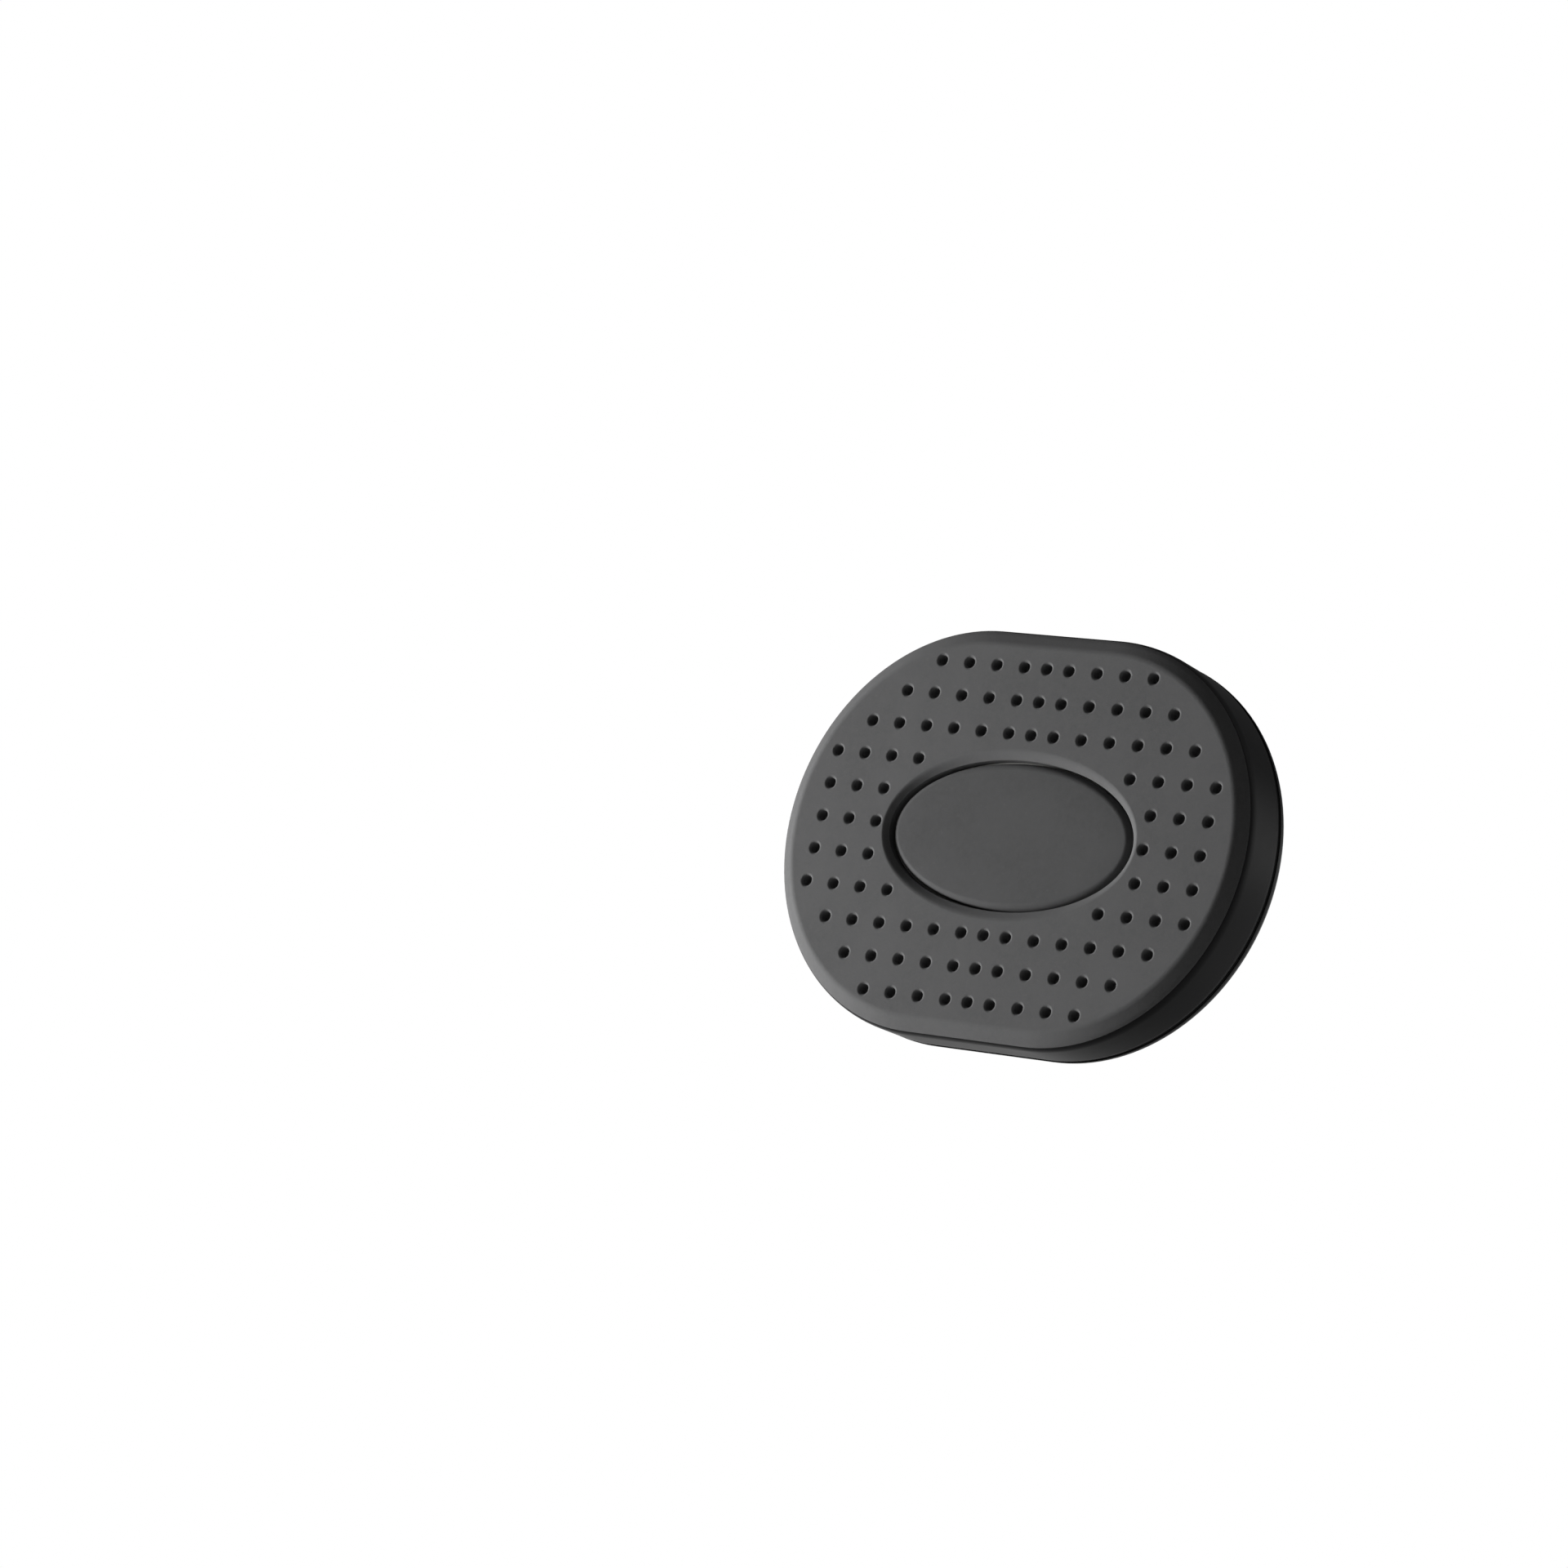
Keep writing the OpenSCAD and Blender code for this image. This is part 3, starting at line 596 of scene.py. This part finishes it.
class HolderStage(bpy.types.PropertyGroup):
    """The camera, the floor and the light."""

    camera_place: place("Camera", "Camera's place from the middle of the face",
                        (0.39478, -0.52511, 0.09208))
    camera_pitch: angle("Pitch", "Camera's angle from straight down", 82.46)
    camera_turn: angle("Turn", "Camera's turn about the vertical", 38.90)
    lens: amount("Lens", "Focal length in millimetres", 151.03)
    sensor: amount("Sensor", "Width of the camera's sensor in millimetres", 36.0)
    floor_place: place("Floor", "Middle of the floor", (0.0, -0.02, -0.12))
    floor_r: length("Floor radius", "Radius of the floor", 2000.0)
    floor_near: length("Shadow", "Where the floor starts to turn white", 50.0)
    floor_far: length("White floor", "Where the floor has turned white", 150.0)
    floor_colour: colour("Floor", "Colour of the floor", 0.8, 0.8, 0.8)
    aim: place("Aim", "Point that the lamps face", (0.0, -0.025, 0.0))
    key_place: place("Key place", "Place of the front left lamp", (-0.45, -0.209, -0.011))
    key_size: length("Key size", "Width of the front left lamp", 110.0)
    key_power: amount("Key", "Power of the front left lamp in watts", 4.7)
    side_place: place("Side place", "Place of the back right lamp", (0.45, 0.45, -0.06))
    side_size: length("Side size", "Width of the back right lamp", 500.0)
    side_power: amount("Side", "Power of the back right lamp in watts", 1.4)
    card_toward: FloatVectorProperty(
        name="Card", description="Where the dark card stands that the side mirrors",
        default=(-0.35, 0.90, 0.26), subtype="DIRECTION", size=3)
    card_dark: amount("Card darkness", "How much darker than white the card is", 0.9)
    fill: amount("Fill", "Strength of the soft light at the sides", 0.12)


# Head

def dimple_places(size, pad_r, straight, oval):
    """Dimple centres: an even grid, closer in the middle, inside the edge, outside the oval."""
    most = int((straight + pad_r) / size.dimple_pitch) + 1
    steps = np.arange(-most, most + 1)
    columns = np.sign(steps) * (
        size.dimple_mid_pitch + (np.abs(steps) - 1) * size.dimple_pitch)
    columns[steps == 0] = 0
    x, y = np.meshgrid(columns, steps * size.dimple_pitch)
    inside = np.hypot(np.maximum(abs(x) - straight, 0), y) <= pad_r - size.dimple_edge
    margin = size.oval_bevel + size.dimple_d / 2 + size.dimple_lip / 2
    clear = np.hypot(x / (oval[0] + margin), y / (oval[1] + margin)) > 1
    return np.stack([x[inside & clear], y[inside & clear]], 1)


class HOLDER_OT_face(bpy.types.Operator):
    """The dimpled rubber face and the oval badge in its middle."""

    bl_idname = "holder.face"
    bl_label = "Rubber face and badge"

    def execute(self, context):
        size = context.scene.holder_head
        low, high = span("centre_badge", HEAD)
        badge = high[:2]
        self.pad(size, badge + (size.badge_gap, size.badge_gap_y))
        self.badge(size, badge, low[2], high[2])
        return {"FINISHED"}

    def pad(self, size, oval):
        """A rounded pill edge, a flat face with a hole for each dimple and for the oval,
        dimples with rounded mouths and floors, and the oval's soft bevel."""
        pad_r, straight, back, face = pill_size("grip_pad")
        shell_r, _, _, rim = pill_size("front_shell")
        stations = pill(straight)
        flat_r = pad_r - size.pad_round
        # The edge bends down, slopes evenly over the rim and is undercut to the pad's side
        lip_r, lip_z = shell_r - size.rim_shown, rim + size.rim_clear
        bend, lean, tip, small = size.pad_bend, size.pad_lean, 0.05 * MM, 0.1 * MM
        top = np.array([flat_r + bend * math.sin(lean), face - bend * (1 - math.cos(lean))])
        run = lip_r - tip - top[0]
        toe = top + (run, -run * math.tan(lean))
        on_slope = top + 0.6 * (toe - top)
        edge = profile(
            arc(flat_r, face - bend, bend, 90, 90 - math.degrees(lean), 8),
            on_slope, toe, (lip_r, min(toe[1] - tip, lip_z + tip)),
            (lip_r - tip, lip_z), (pad_r, lip_z), (pad_r, lip_z - small),
            arc(pad_r - small, back + small, small, 0, -90, 3))
        places = dimple_places(size, pad_r, straight, oval)
        # A dimple's mouth is rounded, its hole narrows a little and its floor is rounded too
        hole_r, lip, depth = size.dimple_d / 2, size.dimple_lip, size.dimple_depth
        waist_r, floor_r, floor_bend = 0.95 * hole_r, 0.55 * hole_r, 0.36 * hole_r
        pit = profile(
            arc(hole_r + lip, face - lip, lip, 90, 180, 5), (waist_r, face - depth / 2),
            arc(floor_r, face - 0.75 * depth, floor_bend, 0, -90, 3), (0, face - depth))
        # Each dimple is the same small lathed pit, moved to its place
        around = circle(steps=20)
        one, quads, wear = carried(pit, around)
        moves = np.concatenate([places, np.zeros((len(places), 1))], 1)
        pits = (one[None] + moves[:, None]).reshape(-1, 3)
        pit_faces = quads[None] + len(one) * np.arange(len(places))[:, None, None]
        mouth = ring(around, hole_r + lip, face)
        mouths = [mouth + move for move in moves]
        # The bevel leaves the face level, is steepest near the badge and ends in an upright
        # wall: it falls with the square of the way in, a little faster at first
        share = np.linspace(1, 0, 13)
        grow = np.array([size.oval_bevel, size.oval_bevel_y])
        drop = size.oval_fall * (1 - share) ** 2 * (1 + 0.75 * share)
        ovals = [oval_ring(*(oval + grow * out), face - down) for out, down in zip(share, drop)]
        ovals.append(oval_ring(*oval, back))
        sides = (np.concatenate(ovals), grid_faces(len(ovals), len(ovals[0])),
                 np.zeros(len(ovals) * len(ovals[0])))
        parts = [
            carried(edge, stations),
            flat_face([ring(stations, flat_r, face), ovals[0]] + mouths),
            flat_face([ring(stations, pad_r - small, back), ovals[-1]]),
            (pits, pit_faces.reshape(-1, 4), np.tile(wear, len(places))),
            sides]
        build_piece("face_pad", parts, HEAD, "head", "pad_rubber", ["grip_pad"])

    def badge(self, size, half, back, front):
        """An oval disc whose edge is rounded: ellipses that shrink with the edge's arc."""
        small = 0.05 * MM
        path = profile(
            (-half[1], front), (-half[1] / 2, front),
            quarter((-size.badge_round, front), (0, front - size.badge_fall)),
            arc(-small, back + small, small, 0, -90, 2), (-half[1], back))
        rings = [oval_ring(half[0] + t, half[1] + t, z) for t, z in path]
        rings[0][:, 1] = 0
        rings[-1][:, 1] = 0
        disc = np.concatenate(rings), grid_faces(len(path), len(rings[0])), np.repeat(
            bend_wear(path), len(rings[0]))
        build_piece("oval_badge", [disc], HEAD, "head", "badge_rubber", ["centre_badge"])


class HOLDER_OT_front_shell(bpy.types.Operator):
    """The shell's side wall, its rim round the rubber face and the web behind it."""

    bl_idname = "holder.front_shell"
    bl_label = "Front shell"

    def execute(self, context):
        size = context.scene.holder_head
        shell_r, straight, _, rim = pill_size("front_shell")
        points = points_of("front_shell", HEAD)
        back = points[abs(points[:, 1]) > shell_r - size.shell_t][:, 2].min()
        web_front = span("pad_tape", HEAD)[0][2]
        web_back = web_front - size.web_t
        pocket_r = shell_r - size.rim_w
        back_r = shell_r - size.draft
        inner_r = back_r - size.shell_t
        turn, lean, small, step = size.parting_turn, size.parting_lean, 0.1 * MM, 0.15 * MM
        # From the web's middle out, over the rim, down the side, and back up inside it
        path = profile(
            (0, web_front),
            arc(pocket_r - small, web_front + small, small, -90, 0, 3),
            arc(pocket_r + small, rim - small, small, 180, 90, 3),
            quarter((shell_r - size.rim_round, rim), (shell_r, rim - size.rim_fall), 10),
            arc(back_r - turn, back + turn * math.sin(lean), turn, 0, -math.degrees(lean), 6),
            (back_r - turn * (1 - math.cos(lean)) - step, back),
            arc(inner_r + small, back + small, small, 270, 180, 3),
            (inner_r, web_back), (0, web_back))
        parts = [carried(path, pill(straight))]
        # A post is a tube whose root lies in the web
        hole, post, root = size.screw_hole_r, size.post_r, 0.4 * MM
        post_back, post_front = size.boss_front + small, web_back + root
        tube = profile((hole, post_back), (post, post_back), (post, post_front),
                       (hole, post_front))
        for centre in screw_places(size.screw_head_r):
            parts.append(carried(tube, circle(centre, 32), closed=True))
        build_piece("shell_front", parts, HEAD, "head", "shell_plastic", ["front_shell"])
        return {"FINISHED"}


class HOLDER_OT_rear_shell(bpy.types.Operator):
    """The dished back cover with its sunk screw holes, boss and spigot."""

    bl_idname = "holder.rear_shell"
    bl_label = "Rear shell"

    def execute(self, context):
        size = context.scene.holder_head
        back_r, straight, back, _ = pill_size("rear_shell")
        points, near = points_of("rear_shell", HEAD), 0.01 * MM
        flat_r = points[points[:, 2] < back + near][:, 1].max()
        top = points[points[:, 1] > back_r - near][:, 2].max()
        edge_back = top - size.back_edge
        part, bend, edge = size.parting_round, size.back_round, size.back_edge_round
        small, wide, step, floor_in = 0.1 * MM, 0.2 * MM, 0.12 * MM, 0.26 * MM
        spigot_out = back_r - size.shell_t - size.spigot_gap
        spigot_in = spigot_out - size.spigot_t
        floor = back + size.back_t
        slope = (edge_back - back) / (back_r - flat_r)
        floor_r = flat_r - floor_in
        stations = pill(straight)
        # From the flat back up the taper to the edge, in to the spigot, over it and down inside
        outside = profile(
            arc(flat_r, back + bend, bend, -90, -45, 6),
            arc(back_r - edge, edge_back + edge * math.tan(math.pi / 8), edge, -45, 0, 8),
            arc(back_r - part - step, top - part, part, 0, 90, 4),
            (spigot_out, top),
            arc(spigot_out - small, size.spigot_front - small, small, 0, 90, 2),
            (spigot_in, size.spigot_front),
            (spigot_in, floor + (spigot_in - floor_r) * slope),
            (floor_r, floor))
        # The boss and the wells are lathed: down their outsides and up their bores
        boss_in, boss_out = size.boss_in, size.boss_in + size.boss_wall
        middle = circle()
        bore = profile(
            (boss_out, floor), (boss_out, size.boss_front), (boss_in, size.boss_front),
            arc(boss_in + wide, back + wide, wide, 180, 270, 4))
        boss, hole, sink = size.screw_boss_r, size.screw_hole_r, back + size.sink_depth
        well = profile(
            (boss, floor), (boss, size.boss_front), (hole, size.boss_front),
            (hole, sink), (size.sink_r, sink),
            arc(size.sink_r + small, back + small, small, 180, 270, 3))
        back_loops = [ring(stations, flat_r, back), ring(middle, boss_in + wide, back)]
        floor_loops = [ring(stations, floor_r, floor), ring(middle, boss_out, floor)]
        parts = [carried(outside, stations), carried(bore, middle)]
        for centre in screw_places(size.screw_head_r):
            around = circle(centre, 40)
            parts.append(carried(well, around))
            back_loops.append(ring(around, size.sink_r + small, back))
            floor_loops.append(ring(around, boss, floor))
        parts += [flat_face(back_loops), flat_face(floor_loops)]
        build_piece("shell_rear", parts, HEAD, "head", "shell_plastic", ["rear_shell"])
        return {"FINISHED"}


# Ball joint

class HOLDER_OT_collar_nut(bpy.types.Operator):
    """The fluted collar nut that tightens the socket on the ball."""

    bl_idname = "holder.collar_nut"
    bl_label = "Collar nut"

    def execute(self, context):
        size = context.scene.holder_joint
        low, high = span("collar_nut", HEAD)
        back, front, outer = low[2], high[2], high[0]
        bend, flare, chamfer = size.nut_round, size.lip_flare, 0.2 * MM
        lip_front = back + size.nut_lip
        # Round the nut's section: front, side, back, the lip's flared hole and the bore
        path = profile(
            (size.nut_in + chamfer, front),
            arc(outer - bend, front - bend, bend, 90, 0, 8),
            arc(outer - bend, back + bend, bend, 0, -90, 8),
            arc(size.lip_in + flare, back + flare, flare, 270, 180, 6),
            (size.lip_in, lip_front), (size.nut_in, lip_front),
            (size.nut_in, front - chamfer))
        points, faces, wear = carried(path, circle(steps=16 * size.nut_flutes), closed=True)
        build_piece("nut", [(self.fluted(points, size, outer), faces, wear)], HEAD, "nut",
                    "nut_plastic", ["collar_nut"])
        return {"FINISHED"}

    @staticmethod
    def fluted(points, size, outer):
        """Limits each point's radius to the outline of a circle with round flutes cut in it:
        a flute is a circle of its radius whose middle lies a third of that outside."""
        radius = np.hypot(points[:, 0], points[:, 1])
        turn = np.arctan2(points[:, 1], points[:, 0]) * size.nut_flutes / (2 * np.pi)
        side = (turn - np.round(turn)) * 2 * np.pi / size.nut_flutes * outer
        cut = np.sqrt(np.maximum(size.flute_r ** 2 - side ** 2, 0)) - size.flute_r / 3
        limit = outer - np.maximum(cut, 0)
        share = np.minimum(radius, limit) / radius
        return points * np.stack([share, share, np.ones_like(share)], 1)


class HOLDER_OT_ball_stud(bpy.types.Operator):
    """The polished ball with its neck, flared shoulder and shank."""

    bl_idname = "holder.ball_stud"
    bl_label = "Ball stud"

    def execute(self, context):
        size = context.scene.holder_joint
        ball, neck, reach = size.ball_r, size.neck_r, size.neck_reach
        back = span("ball_stud", CLIP)[0][2]
        shoulder_back = -reach - size.shoulder_t
        edge, flare, drill_point = 0.2 * MM, size.neck_flare, 0.6 * MM
        root_r, root_end = 1.07 * neck, -1.08 * ball
        # The ball's arc, the neck with its small root, the flared shoulder, shank and bore
        path = profile(
            arc(0, 0, ball, 90, -62, 40), (root_r, -ball), (neck, root_end),
            arc(neck + flare, -reach + flare, flare, 180, 270, 8),
            arc(size.shoulder_r - edge, -reach - edge, edge, 90, 0, 4),
            arc(size.shoulder_r - edge, shoulder_back + edge, edge, 0, -90, 4),
            (size.shank_r, shoulder_back), (size.shank_r, back), (size.bore_r, back),
            (size.bore_r, -size.bore_end - drill_point), (0, -size.bore_end))
        build_piece("stud", [carried(path, circle(steps=112))], CLIP, "clip", "stud_chrome",
                    ["ball_stud"])
        return {"FINISHED"}


# Clip

class HOLDER_OT_closing_band(bpy.types.Operator):
    """The rubber band round the fingers, a rounded strip carried round a rounded square."""

    bl_idname = "holder.closing_band"
    bl_label = "Closing band"

    def execute(self, context):
        size = context.scene.holder_clip
        low, high = span("closing_band", CLIP)
        outer, inner = size.band_corner, size.band_corner - size.band_t
        middle, bend = high[0] - outer, size.band_round
        path = profile(
            arc(outer - bend, high[2] - bend, bend, 90, 0, 4),
            arc(outer - bend, low[2] + bend, bend, 0, -90, 4),
            arc(inner + bend, low[2] + bend, bend, 270, 180, 4),
            arc(inner + bend, high[2] - bend, bend, 180, 90, 4))
        corners = [(middle, middle), (-middle, middle), (-middle, -middle), (middle, -middle)]
        strip = carried(path, outline(corners, 16, 12), closed=True)
        build_piece("band", [strip], CLIP, "clip", "band_rubber", ["closing_band"])
        return {"FINISHED"}


def corner_arcs(low_x, low_y, high_x, high_y, bends, steps, straight):
    """Rounded rectangles, one a row: four arcs with straight runs between them. Sides and
    bends are arrays of one value a row."""
    centres = [(low_x + bends[0], low_y + bends[0], bends[0], 180),
               (high_x - bends[1], low_y + bends[1], bends[1], 270),
               (high_x - bends[2], high_y - bends[2], bends[2], 0),
               (low_x + bends[3], high_y - bends[3], bends[3], 90)]
    runs = []
    for x, y, bend, start in centres:
        t = np.radians(start + np.linspace(0, 90, steps + 1))
        runs.append(np.stack([x[:, None] + bend[:, None] * np.cos(t),
                              y[:, None] + bend[:, None] * np.sin(t)], -1))
    share = np.linspace(0, 1, straight + 2)[1:-1, None]
    filled = []
    for k, run in enumerate(runs):
        ahead = runs[(k + 1) % 4]
        filled += [run, run[:, -1:] * (1 - share) + ahead[:, :1] * share]
    return np.concatenate(filled, 1)


class HOLDER_OT_grips(bpy.types.Operator):
    """The four ribbed rubber covers of the fingers."""

    bl_idname = "holder.grips"
    bl_label = "Finger grips"

    def execute(self, context):
        size = context.scene.holder_clip
        points, faces, wear = self.cover(size)
        for up, level in ((1, "upper_"), (-1, "lower_")):
            for right, side in ((1, "right"), (-1, "left")):
                corner = level + side
                turned = points * (right, up, 1)
                build_piece("cover_" + corner, [(turned, faces, wear)], CLIP,
                            corner + "_finger", "grip_rubber", ["grip_" + corner])
        return {"FINISHED"}

    @staticmethod
    def cover(size):
        """The upper right cover: rounded rectangles from the tip's middle out, along the
        outside to the root, round its mouth and back along the inside to the core's tip."""
        low, high = span("grip_upper_right", CLIP)
        back, front, root_half = low[2], high[2], high[0]
        tip_half = size.tip_w / 2
        base = size.slot_w / 2 + size.rib_h
        reach = front - back
        pitch = reach / size.rib_count
        bend, lip, fade = size.tip_round, size.mouth_round, 0.2 * MM

        def rows(heights, inset, low_inset, ribbed=False):
            """Rectangles at these heights, wider towards the root, drawn in from the outside
            and from the slots. The outer corner's radius is a share of the width."""
            half = tip_half + (root_half - tip_half) * (heights - back) / reach
            side, outer_share = np.full_like(half, size.grip_round), 0.35
            bends = [size.slot_round - 0.1 * low_inset, side, outer_share * (half - inset),
                     side]
            flat = corner_arcs(size.side_slot / 2 + low_inset, base + low_inset,
                               half - inset, half - inset, bends, 6, 7)
            if ribbed:
                # Ribs with flat tops and valleys, that fade out up the sides
                wave = np.abs(((front - heights) / pitch + 0.5) % 1 - 0.5) * 2
                crest = size.rib_h * np.clip(1.08 - 1.15 * wave, 0, 1)
                crest *= (heights > back + pitch / 2) & (heights < front - pitch / 2)
                x, y = flat[..., 0], flat[..., 1]
                under = np.clip((base + 1.25 * fade - y) / fade, 0, 1)
                across = np.clip((tip_half - bend - x) / (1.5 * fade) + 1, 0, 1)
                flat[..., 1] -= crest[:, None] * under * across
            tall = np.broadcast_to(heights[:, None, None], flat.shape[:2] + (1,))
            return np.concatenate([flat, tall], -1)

        tip_turn = np.radians(np.linspace(4, 90, 10))
        tip_inset = bend * (1 - np.sin(tip_turn))
        tip = rows(back + bend * (1 - np.cos(tip_turn)), tip_inset, 0.3 * tip_inset)
        side_heights = np.linspace(back + bend, front - lip, 16 * size.rib_count)[1:]
        none = np.zeros_like(side_heights)
        side = rows(side_heights, none, none, ribbed=True)
        lip_turn = np.radians(np.linspace(0, 90, 4))[1:]
        lip_inset = lip * (1 - np.cos(lip_turn))
        mouth = rows(front - lip * (1 - np.sin(lip_turn)), lip_inset, lip_inset)
        wall = np.full(2, size.rubber_t - 0.02 * MM)
        inner = rows(np.array([front, back + size.rubber_t]), wall, wall)
        # Each end closes on its own middle
        shell = [tip[:1] * 1.0, tip, side, mouth, inner, inner[-1:] * 1.0]
        for cap in (shell[0], shell[-1]):
            cap[..., :2] = cap[..., :2].mean((0, 1))
        shell = np.concatenate(shell)
        wear = np.zeros(shell.shape[:2])
        wear[1:len(tip)] = 0.8
        return shell.reshape(-1, 3), grid_faces(*shell.shape[:2]), wear.ravel()


# Solids carried over with a finish

SOFTENED = ("clip_hub", "finger_", "shell_screws", "stud_screw", "ball_socket")


class HOLDER_OT_solid_parts(bpy.types.Operator):
    """Finishes and soft edges for the solids whose shape is already right."""

    bl_idname = "holder.solid_parts"
    bl_label = "Finish the solid parts"

    def execute(self, context):
        slots = {part["node"]: part["material_slot"] for part in frame["record"]["subparts"]}
        for name, node in frame["nodes"].items():
            node.data.materials.clear()
            node.data.materials.append(finish(slots[name]))
            if name.startswith(SOFTENED):
                self.soften(node, context.scene.holder_clip.core_soft)
        return {"FINISHED"}

    @staticmethod
    def soften(node, width):
        """Welds the solid's loose triangles and bevels its sharper edges."""
        weld = node.modifiers.new("Weld", "WELD")
        weld.merge_threshold = 0.001 * MM
        soft = node.modifiers.new("Soft edges", "BEVEL")
        soft.width = width
        soft.segments = 2
        soft.limit_method = "ANGLE"
        soft.angle_limit = math.radians(35)
        soft.use_clamp_overlap = True
        soft.harden_normals = False


# Stage

WHITE = (1.0, 1.0, 1.0, 1.0)


class HOLDER_OT_stage(bpy.types.Operator):
    """The floor, the light and the camera."""

    bl_idname = "holder.stage"
    bl_label = "Stage"

    def execute(self, context):
        stage = context.scene.holder_stage
        self.floor(stage)
        self.world(context, stage)
        self.lamp("key_lamp", stage.key_place, stage.key_size, stage.key_power, stage.aim)
        self.lamp("side_lamp", stage.side_place, stage.side_size, stage.side_power, stage.aim)
        self.camera(context, stage)
        context.scene.view_settings.view_transform = "Standard"
        return {"FINISHED"}

    @staticmethod
    def floor(stage):
        """A disc, pale and shadowed near the object and plain white further out for the
        camera. From below it isn't seen."""
        x, y, z = stage.floor_place
        rim = ring(circle((x, y), 64), stage.floor_r, z)[:-1]
        mesh = bpy.data.meshes.new("floor")
        mesh.from_pydata(rim.tolist(), [], [list(range(len(rim)))])
        floor = bpy.data.objects.new("floor", mesh)
        bpy.context.scene.collection.objects.link(floor)
        made = Finish(bpy.data.materials.new("floor"))
        spot = made.node("TexCoord", output="Object")
        centred = made.node("Mapping", {}, {"Vector": spot, "Location": (-x, -y, 0.0),
                                            "Scale": (1.0, 1.0, 0.0)})
        away = made.node("VectorMath", {"operation": "LENGTH"}, {0: centred}, output="Value")
        shown = made.ray("Camera").most(made.ray("Glossy")).most(made.ray("Transmission"))
        plain = made.node("BsdfDiffuse", {}, {"Color": stage.floor_colour})
        white = made.node("Emission", {}, {"Color": WHITE, "Strength": 1.0})
        whiter = shown * away.between(stage.floor_near, stage.floor_far)
        pale = made.node("MixShader", {}, {0: whiter, 1: plain, 2: white})
        through = made.node("BsdfTransparent")
        under = made.node("NewGeometry", output="Backfacing")
        mesh.materials.append(made.send(
            made.node("MixShader", {}, {0: under, 1: pale, 2: through})))

    @staticmethod
    def world(context, stage):
        """Soft light, stronger from behind; white for the camera and for reflections, but
        for the dark card that the head's upper right side mirrors."""
        made = Finish(bpy.data.worlds.new("studio"), "OutputWorld")
        seen = made.node("TexCoord", output="Generated")
        back = made.node("SeparateXYZ", {}, {0: seen}, output="Y")
        card = made.node("VectorMath", {"operation": "DOT_PRODUCT"},
                         {0: seen, 1: stage.card_toward}, output="Value")
        soft = stage.fill * (0.5 + 3.5 * back.between(0.2, 0.9))
        mirrored = 1 - stage.card_dark * card.between(0.48, 0.78)
        glossy = made.ray("Glossy")
        shown = made.ray("Camera").most(made.ray("Transmission"))
        level = shown.most(glossy * mirrored + (1 - glossy) * soft)
        context.scene.world = made.send(
            made.node("Background", {}, {"Color": WHITE, "Strength": level}))

    @staticmethod
    def lamp(name, place, size, power, target):
        """A soft square lamp aimed at the target."""
        light = bpy.data.lights.new(name, "AREA")
        light.size = size
        light.energy = power
        lamp = bpy.data.objects.new(name, light)
        lamp.location = place
        toward = Vector(target) - lamp.location
        lamp.rotation_euler = toward.to_track_quat("-Z", "Y").to_euler()
        bpy.context.scene.collection.objects.link(lamp)

    @staticmethod
    def camera(context, stage):
        """The camera, set from the middle of the face."""
        face = BALL + span("grip_pad", HEAD)[1][2] * FACE_OUT
        eye = bpy.data.cameras.new("camera")
        eye.lens = stage.lens
        eye.sensor_width = stage.sensor
        camera = bpy.data.objects.new("camera", eye)
        camera.location = Vector(face) + Vector(stage.camera_place)
        camera.rotation_euler = (stage.camera_pitch, 0.0, stage.camera_turn)
        context.scene.collection.objects.link(camera)
        context.scene.camera = camera


# Panel and registration

PIECES = [HOLDER_OT_face, HOLDER_OT_front_shell, HOLDER_OT_rear_shell, HOLDER_OT_collar_nut,
          HOLDER_OT_ball_stud, HOLDER_OT_closing_band, HOLDER_OT_grips, HOLDER_OT_solid_parts,
          HOLDER_OT_stage]
SETTINGS = {"holder_finishes": HolderFinishes, "holder_head": HolderHead,
            "holder_joint": HolderJoint, "holder_clip": HolderClip,
            "holder_stage": HolderStage}


class HOLDER_PT_panel(bpy.types.Panel):
    """Lists the holder's settings and the steps that build it."""

    bl_label = "Phone holder"
    bl_idname = "HOLDER_PT_panel"
    bl_space_type = "VIEW_3D"
    bl_region_type = "UI"
    bl_category = "Phone holder"

    def draw(self, context):
        for step in PIECES:
            self.layout.operator(step.bl_idname)
        for name, group in SETTINGS.items():
            box = self.layout.box()
            for key in group.__annotations__:
                box.prop(getattr(context.scene, name), key)


def register():
    for group in SETTINGS.values():
        bpy.utils.register_class(group)
    for name, group in SETTINGS.items():
        setattr(bpy.types.Scene, name, PointerProperty(type=group))
    for step in PIECES:
        bpy.utils.register_class(step)
    bpy.utils.register_class(HOLDER_PT_panel)


def unregister():
    bpy.utils.unregister_class(HOLDER_PT_panel)
    for step in reversed(PIECES):
        bpy.utils.unregister_class(step)
    for name, group in SETTINGS.items():
        delattr(bpy.types.Scene, name)
        bpy.utils.unregister_class(group)


def main():
    """Builds every piece and the stage."""
    register()
    for step in PIECES:
        group, name = step.bl_idname.split(".")
        getattr(getattr(bpy.ops, group), name)()


if __name__ == "__main__":
    main()
